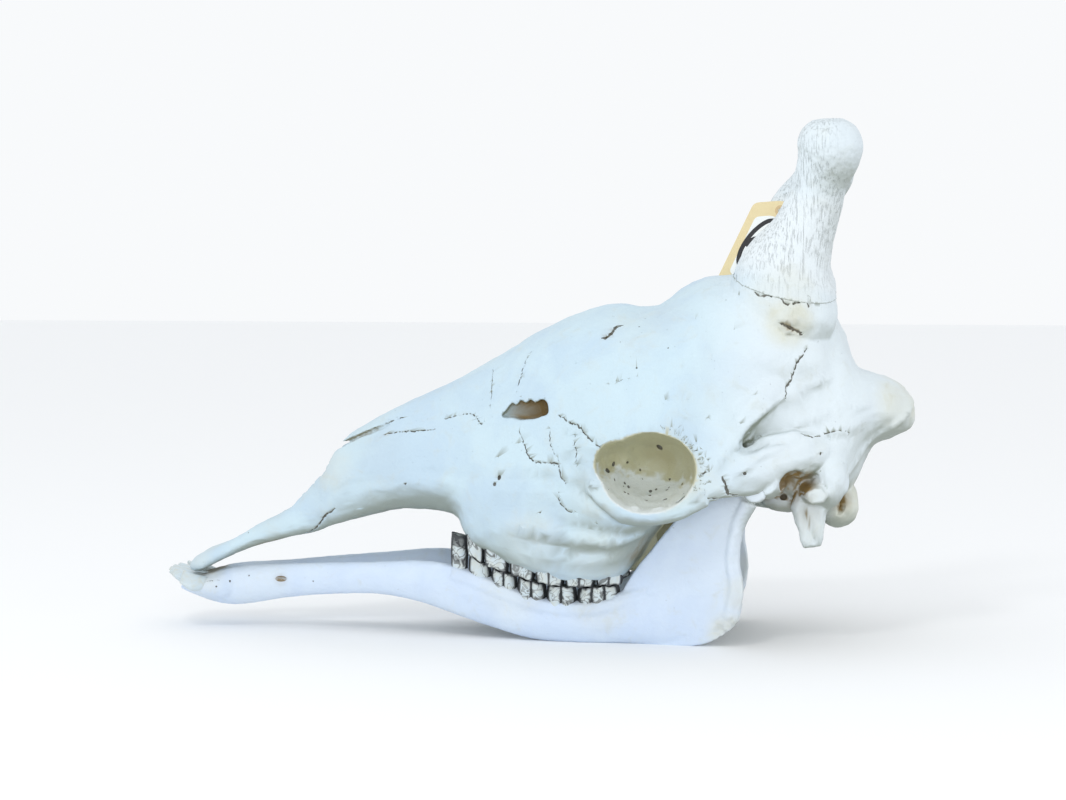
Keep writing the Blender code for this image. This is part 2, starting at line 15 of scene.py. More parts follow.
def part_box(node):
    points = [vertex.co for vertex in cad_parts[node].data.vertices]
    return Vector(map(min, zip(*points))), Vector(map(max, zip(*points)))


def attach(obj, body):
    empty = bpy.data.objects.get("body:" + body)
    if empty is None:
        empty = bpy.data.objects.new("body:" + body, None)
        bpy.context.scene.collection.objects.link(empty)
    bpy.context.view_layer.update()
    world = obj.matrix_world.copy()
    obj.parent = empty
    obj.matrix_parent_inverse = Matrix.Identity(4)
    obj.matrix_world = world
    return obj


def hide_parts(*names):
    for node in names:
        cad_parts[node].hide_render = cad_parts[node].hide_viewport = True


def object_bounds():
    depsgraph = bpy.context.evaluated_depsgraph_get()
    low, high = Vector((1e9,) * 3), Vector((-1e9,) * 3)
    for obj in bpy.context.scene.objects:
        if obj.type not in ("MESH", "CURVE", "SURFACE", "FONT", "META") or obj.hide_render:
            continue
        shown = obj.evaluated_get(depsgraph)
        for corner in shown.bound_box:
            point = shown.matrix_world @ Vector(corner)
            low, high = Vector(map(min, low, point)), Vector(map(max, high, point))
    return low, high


mm = 0.001
gap = 0.3  # between pieces that touch
drawnAt = (5.0, -0.05, 0.0)  # where the origin of the drawn shapes lies in the frame
started = time.time()
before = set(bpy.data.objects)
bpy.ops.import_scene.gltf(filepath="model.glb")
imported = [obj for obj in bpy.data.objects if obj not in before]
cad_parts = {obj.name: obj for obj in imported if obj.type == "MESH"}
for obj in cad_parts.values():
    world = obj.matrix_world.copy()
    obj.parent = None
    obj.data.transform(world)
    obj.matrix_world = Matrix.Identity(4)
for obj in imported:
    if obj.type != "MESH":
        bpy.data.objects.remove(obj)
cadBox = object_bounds()


def report(words):
    print(f"{words} at {time.time() - started:.0f} s", flush=True)


# Mesh tools


def linkMesh(name, mesh):
    obj = bpy.data.objects.new(name, mesh)
    bpy.context.scene.collection.objects.link(obj)
    return obj


def fromBmesh(name, shape):
    mesh = bpy.data.meshes.new(name)
    shape.to_mesh(mesh)
    shape.free()
    return linkMesh(name, mesh)


def meshFrom(name, points, faces):  # closed skin from points, its faces turned outward
    shape = bmesh.new()
    corners = [shape.verts.new(Vector(point) * mm) for point in points]
    for face in faces:
        shape.faces.new([corners[i] for i in face])
    bmesh.ops.recalc_face_normals(shape, faces=shape.faces)
    if shape.calc_volume(signed=True) < 0:
        bmesh.ops.reverse_faces(shape, faces=shape.faces)
    return fromBmesh(name, shape)


def smoothThrough(keys, steps, closed):  # curve through keys, whose first axis runs along it
    count = len(keys)
    out = []
    for span in range(count if closed else count - 1):
        b, c = keys[span], keys[(span + 1) % count]
        a = keys[span - 1] if closed or span else 2 * b - c
        d = keys[(span + 2) % count] if closed or span + 2 < count else 2 * c - b
        for step in range(steps):
            t = step / steps
            bend = (2 * a - 5 * b + 4 * c - d) * t**2 + (3 * b - a - 3 * c + d) * t**3
            out.append((2 * b + (c - a) * t + bend) / 2)
    if not closed:
        out.append(keys[-1])
    return np.array(out)


def skinOfRings(name, rings):  # rings with the same number of points, closed at both ends
    count, size = len(rings), len(rings[0])
    points = [tuple(point) for ring in rings for point in ring]
    faces = []
    for i in range(count - 1):
        for j in range(size):
            k = (j + 1) % size
            faces.append((i * size + j, i * size + k, (i + 1) * size + k, (i + 1) * size + j))
    for end in (0, count - 1):
        points.append(tuple(np.mean(rings[end], axis=0)))
        faces += [(end * size + j, end * size + (j + 1) % size, len(points) - 1) for j in range(size)]
    return meshFrom(name, points, faces)


def loft(name, sections, along=4, around=3):
    rings = smoothThrough(np.array(sections, float), along, closed=False)
    return skinOfRings(name, [smoothThrough(ring, around, closed=True) for ring in rings])


def mirroredRing(x, roof, *rest):  # roof, points down the left side, base, points up the right side
    *side, base = rest
    left = [(-y, z) for y, z in side]
    right = [(y, z) for y, z in reversed(side)]
    return [(x, y, z) for y, z in [(0, roof), *left, (0, base), *right]]


def limb(name, path, along=4, around=3, up=(0, 0, 1)):  # path of x, y, z, half width, half height
    path = np.array(path, float)
    rings = []
    for i, row in enumerate(path):
        ahead, behind = path[min(i + 1, len(path) - 1)], path[max(i - 1, 0)]
        run = Vector(ahead[:3] - behind[:3]).normalized()
        across = run.cross(Vector(up)).normalized()
        wide, high = across * row[3], across.cross(run) * row[4]
        angles = [corner * math.tau / 8 for corner in range(8)]
        rings.append([Vector(row[:3]) + wide * math.cos(a) + high * math.sin(a) for a in angles])
    return loft(name, rings, along, around)


def ball(name, centre, radii, turn=(0, 0, 0)):  # turned by degrees about X, then Y, then Z
    shape = bmesh.new()
    bmesh.ops.create_uvsphere(shape, u_segments=48, v_segments=32, radius=1)
    place = Matrix.Translation(centre)
    for angle, axis in zip(reversed(turn), "ZYX"):
        place = place @ Matrix.Rotation(math.radians(angle), 4, axis)
    shape.transform(Matrix.Scale(mm, 4) @ place @ Matrix.Diagonal((*radii, 1)))
    return fromBmesh(name, shape)


def slab(name, outline, thick, middle, leanX, leanZ):  # its middle plane is y = middle + leanX x + leanZ z
    corners = smoothThrough(np.array(outline, float), 4, closed=True)
    points = []
    for side in (-0.5, 0.5):
        points += [(x, middle + leanX * x + leanZ * z + side * thick, z) for x, z in corners]
    size = len(corners)
    faces = [tuple(range(size)), tuple(range(2 * size - 1, size - 1, -1))]
    faces += [(j, (j + 1) % size, size + (j + 1) % size, size + j) for j in range(size)]
    return meshFrom(name, points, faces)


def bothSides(pieces):
    out = list(pieces)
    for piece in pieces:
        mesh = piece.data.copy()
        mesh.transform(Matrix.Diagonal((1, -1, 1, 1)))
        mesh.flip_normals()
        out.append(linkMesh(piece.name + "Right", mesh))
    return out


def halfSpace(name, y=0, z=0):  # block of one metre beyond the origin plane, on the side that a sign gives
    shape = bmesh.new()
    bmesh.ops.create_cube(shape, size=1)
    shape.transform(Matrix.Translation(Vector((0, y, z)) * 0.5))
    return fromBmesh(name, shape)


def withModifier(obj, kind, **settings):  # the object's mesh becomes what the modifier makes of it
    modifier = obj.modifiers.new(kind.title(), kind)
    for key, value in settings.items():
        setattr(modifier, key, value)
    bakeDown(obj)


def bakeDown(obj):
    graph = bpy.context.evaluated_depsgraph_get()
    mesh = bpy.data.meshes.new_from_object(obj.evaluated_get(graph))
    obj.modifiers.clear()
    old, obj.data = obj.data, mesh
    bpy.data.meshes.remove(old)


def joinInto(name, pieces):
    shape = bmesh.new()
    for piece in pieces:
        shape.from_mesh(piece.data)
        bpy.data.objects.remove(piece)
    return fromBmesh(name, shape)


def blur(obj, area):  # rounds a skin by about the same width whatever its mesh size, area in mm2
    edge = skinVoxel(obj)
    withModifier(obj, "SMOOTH", factor=0.5, iterations=max(1, round(area / edge**2)))


def skinVoxel(obj):
    return obj.data["voxel"]


def fuse(name, pieces, voxel, area):  # one skin round overlapping pieces
    obj = joinInto(name, pieces)
    remesh(obj, voxel)
    blur(obj, area)
    return obj


def remesh(obj, voxel):
    withModifier(obj, "REMESH", mode="VOXEL", voxel_size=voxel * mm)
    obj.data["voxel"] = voxel


def carve(obj, cutters):
    for cutter in cutters:
        withModifier(obj, "BOOLEAN", operation="DIFFERENCE", solver="MANIFOLD", object=cutter)
        bpy.data.objects.remove(cutter)


def thinOut(obj, faces):
    obj.data.calc_loop_triangles()
    share = faces / len(obj.data.loop_triangles)
    if share < 1:
        withModifier(obj, "DECIMATE", ratio=share, use_collapse_triangulate=True)


def keepLargest(obj):
    shape = bmesh.new()
    shape.from_mesh(obj.data)
    unseen, groups = set(shape.faces), []
    while unseen:
        front = [unseen.pop()]
        group = list(front)
        while front:
            near = {other for edge in front.pop().edges for other in edge.link_faces} & unseen
            unseen -= near
            front += near
            group += near
        groups.append(group)
    groups.sort(key=lambda group: sum(face.calc_area() for face in group))
    for group in groups[:-1]:
        bmesh.ops.delete(shape, geom=group, context="FACES")
    bmesh.ops.delete(shape, geom=[v for v in shape.verts if not v.link_faces], context="VERTS")
    shape.to_mesh(obj.data)
    shape.free()


def swollenCopy(obj, grow):
    mesh = obj.data.copy()
    places, normals = readPoints(mesh)
    writePoints(mesh, places + normals * grow)
    return linkMesh(obj.name + "Seat", mesh)


def readPoints(mesh):  # places in mm and normals
    places = np.empty(len(mesh.vertices) * 3)
    normals = np.empty(len(mesh.vertices) * 3)
    mesh.vertices.foreach_get("co", places)
    mesh.vertices.foreach_get("normal", normals)
    return places.reshape(-1, 3) / mm, normals.reshape(-1, 3)


def writePoints(mesh, places):
    mesh.vertices.foreach_set("co", (places * mm).ravel())
    mesh.update()


def writeField(obj, name, values):  # a number at each point, which the material reads
    field = obj.data.attributes.get(name) or obj.data.attributes.new(name, "FLOAT", "POINT")
    field.data.foreach_set("value", np.clip(values, 0, 1).astype(np.float32))


def ease(low, high, values):  # 0 below low, 1 above high, smooth between
    t = np.clip((values - low) / (high - low), 0, 1)
    return t * t * (3 - 2 * t)


def skinOf(*pieces):  # search tree of the pieces' skins, in mm
    shape = bmesh.new()
    for piece in pieces:
        shape.from_mesh(piece.data)
    shape.transform(Matrix.Scale(1 / mm, 4))
    tree = BVHTree.FromBMesh(shape)
    shape.free()
    return tree


# Node tools


class Socket:  # an output whose sums add their own Math nodes
    def __init__(self, maker, output):
        self.maker = maker
        self.output = output

    def math(self, operation, *values, **settings):
        inputs = dict(enumerate(values))
        return self.maker.add("ShaderNodeMath", {"operation": operation, **settings}, inputs)

    def __add__(self, other):
        return self.math("ADD", self, other)

    def __radd__(self, other):
        return self.math("ADD", other, self)

    def __sub__(self, other):
        return self.math("SUBTRACT", self, other)

    def __rsub__(self, other):
        return self.math("SUBTRACT", other, self)

    def __mul__(self, other):
        return self.math("MULTIPLY", self, other)

    def __rmul__(self, other):
        return self.math("MULTIPLY", other, self)

    def clipped(self):
        return self.math("ADD", self, 0, use_clamp=True)


class NodeMaker:
    def __init__(self, tree):
        self.tree = tree

    def add(self, kind, settings=None, inputs=None, output=0):
        node = self.tree.nodes.new(kind)
        for key, value in (settings or {}).items():
            setattr(node, key, value)
        for key, value in (inputs or {}).items():
            if isinstance(value, Socket):
                self.tree.links.new(value.output, node.inputs[key])
            else:
                node.inputs[key].default_value = value
        return Socket(self, node.outputs[output]) if node.outputs else node

    def field(self, name):
        return self.add("ShaderNodeAttribute", {"attribute_name": name}, output="Fac")

    def noise(self, place, scale, detail=3, rough=0.5, twist=0):
        inputs = {"Vector": place, "Scale": scale, "Detail": detail, "Roughness": rough, "Distortion": twist}
        return self.add("ShaderNodeTexNoise", inputs=inputs, output="Fac")

    def step(self, value, low, high):  # 0 below low, 1 above high
        settings = {"interpolation_type": "SMOOTHSTEP"}
        return self.add("ShaderNodeMapRange", settings, {"Value": value, "From Min": low, "From Max": high})

    def stretch(self, place, scale, turn=(0, 0, 0)):  # turned by degrees about each axis
        turned = tuple(math.radians(angle) for angle in turn)
        inputs = {"Vector": place, "Scale": scale, "Rotation": turned}
        return self.add("ShaderNodeMapping", {"vector_type": "POINT"}, inputs)

    def mix(self, share, first, second):
        first, second = (pad(colour) for colour in (first, second))
        settings = {"data_type": "RGBA", "clamp_factor": True}
        return self.add("ShaderNodeMix", settings, {0: share, 6: first, 7: second}, output=2)

    def randomVector(self, low, high, seed):
        draw = {"Min": (low,) * 3, "Max": (high,) * 3, "Seed": seed}
        return self.add("FunctionNodeRandomValue", {"data_type": "FLOAT_VECTOR"}, draw)

    def scaled(self, vector, by):
        return self.add("ShaderNodeVectorMath", {"operation": "SCALE"}, {0: vector, "Scale": by})


def pad(colour):
    return colour if isinstance(colour, Socket) else (*colour, 1)


def shaderMaker(name):
    material = bpy.data.materials.new(name)
    material.use_nodes = True
    material.node_tree.nodes.clear()
    return material, NodeMaker(material.node_tree)


def finishShader(maker, colour, roughness, height, **even):  # height in mm drives the bump
    bump = maker.add("ShaderNodeBump", inputs={"Height": height, "Distance": mm, "Strength": 1.0})
    inputs = {"Base Color": colour, "Roughness": roughness, "Normal": bump, **even}
    surface = maker.add("ShaderNodeBsdfPrincipled", inputs=inputs)
    maker.add("ShaderNodeOutputMaterial", inputs={"Surface": surface})


# Materials


boneFinish = {
    "pale": (0.565, 0.71, 0.785), "cool": (0.51, 0.65, 0.76), "warm": (0.66, 0.68, 0.60),
    # darkest tones: the grey-green one serves as painted shade in hollows and under the bone, and also
    # darkens specks and grain lines; the brown one serves for stains and for painted shade in recesses
    "grimeAndShade": (0.25, 0.28, 0.23), "brown": (0.23, 0.155, 0.055), "crack": (0.11, 0.10, 0.075),
    # the olive tone stands for painted shade in the eye sockets and over the palate; the white tone is whiter
    # bone, and painted light inside the eye sockets
    "olive": (0.50, 0.485, 0.31), "white": (0.74, 0.80, 0.83),
    "roughness": 0.52, "mottle": 16, "cloud": 60, "pore": 900, "speck": 420,
    "poreDepth": 0.16, "grainDepth": 0.55, "specular": 0.42,
}


def boneMaterial(name, finish, grain=None):  # grain is the stretch and turn of its lengthwise lines
    material, maker = shaderMaker(name)
    place = maker.add("ShaderNodeTexCoord", output="Object")
    hollow, brown, beige, seam, under, olive, white = (
        maker.field(word) for word in ("hollow", "brown", "beige", "seam", "under", "olive", "white"))
    broad = maker.noise(place, finish["mottle"], 5, 0.55, 0.4)
    cloud = maker.noise(place, finish["cloud"], 6, 0.62, 0.6)
    fine = maker.noise(place, finish["pore"], 3, 0.6)
    speck = maker.noise(place, finish["speck"], 2, 0.5)
    colour = maker.mix(maker.step(broad, 0.38, 0.66), finish["pale"], finish["cool"])
    # whiter bone toward the horns and the rear, and painted light that brightens the inside of the eye
    # sockets
    colour = maker.mix(white, colour, finish["white"])
    warmth = (beige * (0.35 + cloud * 1.1) + maker.step(cloud, 0.5, 0.72) * 0.16).clipped()
    colour = maker.mix(warmth, colour, finish["warm"])
    # painted shade: darker in closed-in hollows and on faces that look down, with a little random mottling
    paintedShade = maker.step(hollow, 0.2, 0.8) * 0.6 + under * 0.85
    grimeAndShade = (paintedShade + maker.step(cloud, 0.55, 0.8) * 0.1).clipped()
    colour = maker.mix(grimeAndShade, colour, finish["grimeAndShade"])
    # painted shade with an olive tint on the eye sockets' upper and back walls and over the palate
    oliveShade = (olive * (0.62 + cloud * 0.55)).clipped()
    colour = maker.mix(oliveShade, colour, finish["olive"])
    # brown stains, with painted shade where they lie in closed-in places
    stain = (brown * (0.55 + cloud * 0.9)).clipped()
    colour = maker.mix(stain, colour, finish["brown"])
    dots = maker.step(speck, 0.73, 0.80) * 0.35
    colour = maker.mix(dots, colour, finish["grimeAndShade"])
    colour = maker.mix(seam * 0.86, colour, finish["crack"])
    height = fine * finish["poreDepth"] + cloud * 1.1 + broad * 2.5 - dots * 0.8
    if grain:
        along = maker.stretch(place, grain["scale"], grain["turn"])
        lines = maker.noise(along, grain["size"], 4, 0.6)
        streak = maker.step(lines, 0.5, 0.72) * maker.field("grain")
        colour = maker.mix(streak * grain["shade"], colour, finish["grimeAndShade"])
        height = height - streak * finish["grainDepth"]
    roughness = (finish["roughness"] + cloud * 0.14 + stain * 0.15).clipped()
    finishShader(maker, colour, roughness, height, **{"Specular IOR Level": finish["specular"]})
    return material


enamelFinish = {
    # the darkest tone serves for stains and for painted shade between crowns and in their grooves
    "crown": (0.58, 0.68, 0.74), "ivory": (0.58, 0.60, 0.53), "tarAndShade": (0.045, 0.05, 0.055),
    "amber": (0.23, 0.25, 0.25), "roughness": 0.3, "streak": 700, "cloud": 150, "patch": 95,
    "streakStretch": (1, 1, 0.12), "coat": 0.12, "coatRoughness": 0.2,
}


def enamelMaterial(name, finish):
    material, maker = shaderMaker(name)
    place = maker.add("ShaderNodeTexCoord", output="Object")
    stain, worn = maker.field("stain"), maker.field("worn")
    cloud = maker.noise(place, finish["cloud"], 5, 0.6, 0.5)
    lines = maker.noise(maker.stretch(place, finish["streakStretch"]), finish["streak"], 4, 0.6)
    colour = maker.mix(maker.step(cloud, 0.35, 0.7) * 0.6, finish["crown"], finish["ivory"])
    colour = maker.mix(worn * 0.5, colour, finish["ivory"])
    # stains, and the painted shade that the stain field holds, darken the crown
    dirtAndShade = (stain * 1.4 + (cloud - 0.5) * 1.5 * stain + maker.step(lines, 0.62, 0.8) * 0.12).clipped()
    patch = maker.noise(place, finish["patch"], 2, 0.45, 0.9)
    line = 1 - maker.step(patch.math("ABSOLUTE", patch - 0.5), 0.01, 0.045)
    dirtAndShade = (dirtAndShade + (line * 0.42 + maker.step(patch, 0.58, 0.7) * 0.6) * maker.field("blotch")).clipped()
    colour = maker.mix(maker.step(dirtAndShade, 0.12, 0.5), colour, finish["amber"])
    colour = maker.mix(maker.step(dirtAndShade, 0.45, 0.85), colour, finish["tarAndShade"])
    roughness = (finish["roughness"] + dirtAndShade * 0.35).clipped()
    height = lines * 0.12 + cloud * 0.2 - dirtAndShade * 0.15
    shine = {"Coat Weight": finish["coat"], "Coat Roughness": finish["coatRoughness"]}
    finishShader(maker, colour, roughness, height, **shine)
    return material


cardFinish = {
    "manila": (0.78, 0.665, 0.40), "fibre": (0.62, 0.50, 0.27), "cloudy": (0.70, 0.56, 0.32),
    "roughness": 0.78, "fibreSize": 900, "fibreStretch": (1, 1, 3), "fibreTurn": (0, 20, 0), "cloud": 90,
}


def cardMaterial(name, finish):
    material, maker = shaderMaker(name)
    place = maker.add("ShaderNodeTexCoord", output="Object")
    along = maker.stretch(place, finish["fibreStretch"], finish["fibreTurn"])
    fibre = maker.noise(along, finish["fibreSize"], 4, 0.7)
    cloud = maker.noise(place, finish["cloud"], 4, 0.6)
    colour = maker.mix(maker.step(fibre, 0.45, 0.75) * 0.35, finish["manila"], finish["fibre"])
    colour = maker.mix(maker.step(cloud, 0.45, 0.75) * 0.3, colour, finish["cloudy"])
    finishShader(maker, colour, finish["roughness"] + fibre * 0.1, fibre * 0.05 + cloud * 0.1)
    return material


paperFinish = {  # main colour, colour of the fibres and roughness
    "printInk": ((0.02, 0.02, 0.022), (0.05, 0.05, 0.05), 0.5),
    "whiteLabel": ((0.86, 0.89, 0.88), (0.72, 0.75, 0.73), 0.7),
    "eyeletPaper": ((0.62, 0.47, 0.26), (0.5, 0.37, 0.2), 0.6),
    "fibreSize": 1200,
}


def paperMaterial(name):
    main, second, roughness = paperFinish[name]
    material, maker = shaderMaker(name)
    place = maker.add("ShaderNodeTexCoord", output="Object")
    fibre = maker.noise(place, paperFinish["fibreSize"], 3, 0.6)
    tint = maker.mix(maker.step(fibre, 0.4, 0.75) * 0.4, main, second)
    finishShader(maker, tint, roughness + fibre * 0.1, fibre * 0.04)
    return material


# Cutters made with Geometry Nodes: jagged seams along paths, and pits at points


def newTree(name, sockets):
    tree = bpy.data.node_groups.new(name, "GeometryNodeTree")
    for label, kind in sockets:
        tree.interface.new_socket(label, in_out="INPUT", socket_type=kind)
    tree.interface.new_socket("Result", in_out="OUTPUT", socket_type="NodeSocketGeometry")
    return tree, NodeMaker(tree)


def groupInput(maker, label):
    return maker.add("NodeGroupInput", output=label)


def closeTree(maker, result):
    whole = maker.add("GeometryNodeRealizeInstances", inputs={"Geometry": result})
    finish = {"Geometry": whole, "Material": groupInput(maker, "Finish")}
    coated = maker.add("GeometryNodeSetMaterial", inputs=finish)
    end = maker.tree.nodes.new("NodeGroupOutput")
    maker.tree.links.new(coated.output, end.inputs[0])


def seamTree():  # a tube of uneven width that wanders along each edge path
    tree, maker = newTree("seamGroove", [
        ("Paths", "NodeSocketGeometry"), ("Step", "NodeSocketFloat"), ("Wander", "NodeSocketFloat"),
        ("Seed", "NodeSocketInt"), ("Finish", "NodeSocketMaterial")])
    curve = maker.add("GeometryNodeMeshToCurve", inputs={"Mesh": groupInput(maker, "Paths")})
    length = {"Curve": curve, "Length": groupInput(maker, "Step")}
    curve = maker.add("GeometryNodeResampleCurve", {"mode": "LENGTH"}, length)
    shift = maker.randomVector(-1, 1, groupInput(maker, "Seed"))
    shift = maker.scaled(shift, groupInput(maker, "Wander"))
    curve = maker.add("GeometryNodeSetPosition", inputs={"Geometry": curve, "Offset": shift})
    width = maker.add("GeometryNodeInputNamedAttribute", {"data_type": "FLOAT"}, {"Name": "width"})
    draw = {2: 0.75, 3: 1.35, "Seed": groupInput(maker, "Seed")}
    uneven = maker.add("FunctionNodeRandomValue", {"data_type": "FLOAT"}, draw, output=1)
    ring = maker.add("GeometryNodeCurvePrimitiveCircle", {"mode": "RADIUS"}, {"Resolution": 6, "Radius": 1.0})
    tube = {"Curve": curve, "Profile Curve": ring, "Scale": width * uneven, "Fill Caps": True}
    closeTree(maker, maker.add("GeometryNodeCurveToMesh", inputs=tube))
    return tree


def pitTree():  # a small uneven ball at each point
    tree, maker = newTree("pits", [
        ("Points", "NodeSocketGeometry"), ("Spread", "NodeSocketFloat"), ("Seed", "NodeSocketInt"),
        ("Finish", "NodeSocketMaterial")])
    seed, spread = groupInput(maker, "Seed"), groupInput(maker, "Spread")
    drop = maker.add("GeometryNodeMeshIcoSphere", inputs={"Radius": 1.0, "Subdivisions": 2})
    size = maker.add("GeometryNodeInputNamedAttribute", {"data_type": "FLOAT"}, {"Name": "width"})
    uneven = maker.scaled(maker.randomVector(-1, 1, seed), spread)
    uneven = maker.add("ShaderNodeVectorMath", {"operation": "ADD"}, {0: uneven, 1: (1, 1, 1)})
    scale = maker.scaled(uneven, size)
    turned = maker.randomVector(0, 6.28, seed)  # up to a whole turn
    inputs = {"Points": groupInput(maker, "Points"), "Instance": drop, "Scale": scale, "Rotation": turned}
    closeTree(maker, maker.add("GeometryNodeInstanceOnPoints", inputs=inputs))
    return tree


def growWith(obj, tree, **values):  # runs the tree on the object and keeps the plain mesh
    modifier = obj.modifiers.new(tree.name, "NODES")
    modifier.node_group = tree
    for item in tree.interface.items_tree:
        if item.in_out == "INPUT" and item.name.lower() in values:
            modifier[item.identifier] = values[item.name.lower()]
    bakeDown(obj)
    return obj


def pathsObject(name, paths):  # edges along each path of (x, y, z, width)
    points, edges, widths = [], [], []
    for path in paths:
        start = len(points)
        points += [tuple(row[:3] * mm) for row in path]
        widths += [row[3] * mm for row in path]
        edges += [(start + i, start + i + 1) for i in range(len(path) - 1)]
    mesh = bpy.data.meshes.new(name)
    mesh.from_pydata(points, edges, [])
    mesh.attributes.new("width", "FLOAT", "POINT").data.foreach_set("value", widths)
    return linkMesh(name, mesh)


def onSkin(skin, path):  # path points moved to the nearest place on the skin
    return np.array([(*skin.find_nearest(Vector(row[:3]))[0], row[3]) for row in path])


cutting = {
    # a seam's drawn width is its least width and a share of the listed one, and less at its ends
    "leastWidth": 0.12, "widthShare": 1.1, "endWidth": 0.6,
    "seamVoxel": 0.28, "coarseSeamVoxel": 0.5, "seamFaces": 48000, "pitVoxel": 0.4, "coarsePitVoxel": 0.8,
}


def skinPaths(skin, seams):  # seams laid on the skin, on both sides of the head
    out = []
    for width, points in seams:
        width = cutting["leastWidth"] + width * cutting["widthShare"]
        for side in (-1, 1):
            keys = np.array([(x, y * -side, z, width) for x, y, z in points], float)
            keys[[0, -1], 3] = width * cutting["endWidth"]
            out.append(onSkin(skin, smoothThrough(keys, 5, closed=False)))
    return out


def cutSeams(obj, paths, look, crevice):
    tool = pathsObject("seamPaths", paths)
    step, wander = look["step"] * mm, look["wander"] * mm
    growWith(tool, seamTree(), step=step, wander=wander, seed=look["seed"], finish=crevice)
    remesh(tool, cutting["seamVoxel"])
    thinOut(tool, cutting["seamFaces"])
    report(f"seam tool of {len(tool.data.vertices)} points")
    carve(obj, [tool])
    report("seams carved")


def cutPits(obj, pits, look, crevice):
    tool = pathsObject("pitPoints", [np.array([pit]) for pit in pits])
    growWith(tool, pitTree(), spread=look["spread"], seed=look["seed"], finish=crevice)
    remesh(tool, cutting["pitVoxel"])
    carve(obj, [tool])
    report("pits carved")


def sunken(obj, skin, low, high):  # 1 where a point lies deeper than high under the uncut skin
    places, _ = readPoints(obj.data)
    out = np.zeros(len(places))
    for i, place in enumerate(places):
        spot, normal, _, away = skin.find_nearest(Vector(place), 4.0)
        if spot is not None and away > low:
            out[i] = (spot - Vector(place)).dot(normal)
    return ease(low, high, out)


def nearness(obj, rows, near, far):  # 1 where a point is within near of a row, 0 beyond far
    tree = KDTree(len(rows))
    for i, row in enumerate(rows):
        tree.insert(Vector(row[:3]), i)
    tree.balance()
    places, _ = readPoints(obj.data)
    gaps = np.array([tree.find(place)[2] for place in places])
    return 1 - ease(near, far, gaps)


def hollows(obj, surround, reach, rays, seed):  # how closed in each point is, from 0 in the open to 1
    places, normals = readPoints(obj.data)
    spread = np.random.default_rng(seed)
    darts = spread.normal(size=(rays, 3))
    darts /= np.linalg.norm(darts, axis=1)[:, None]
    out = np.zeros(len(places))
    for i, (place, normal) in enumerate(zip(places, normals)):
        start = Vector(place + normal * 0.5)
        for dart in darts:
            aim = Vector(dart + normal * 1.02)
            hit = surround.ray_cast(start, aim, reach)[3]
            if hit is not None:
                out[i] += 1 - (hit / reach) ** 2
    return out / rays


def spots(places, rows, core=0.45):  # strongest of soft balls of (x, y, z, radius, strength), full in a core
    out = np.zeros(len(places))
    for x, y, z, radius, strength in rows:
        for side in (-1, 1) if y else (1,):
            away = np.linalg.norm(places - (x, y * side, z), axis=1)
            out = np.maximum(out, strength * (1 - ease(radius * core, radius, away)))
    return out


def roughen(obj, rows, swell, size, seed):  # uneven skin: everywhere by swell, and more at each spot
    places, normals = readPoints(obj.data)
    amount = np.maximum(spots(places, rows, core=0.4), swell)
    shift = Vector((seed, 2 * seed, 3 * seed))
    wave = np.array([noise.fractal(Vector(p) / size + shift, 0.6, 2.0, 4) for p in places])
    writePoints(obj.data, places + normals * (amount * wave)[:, None])
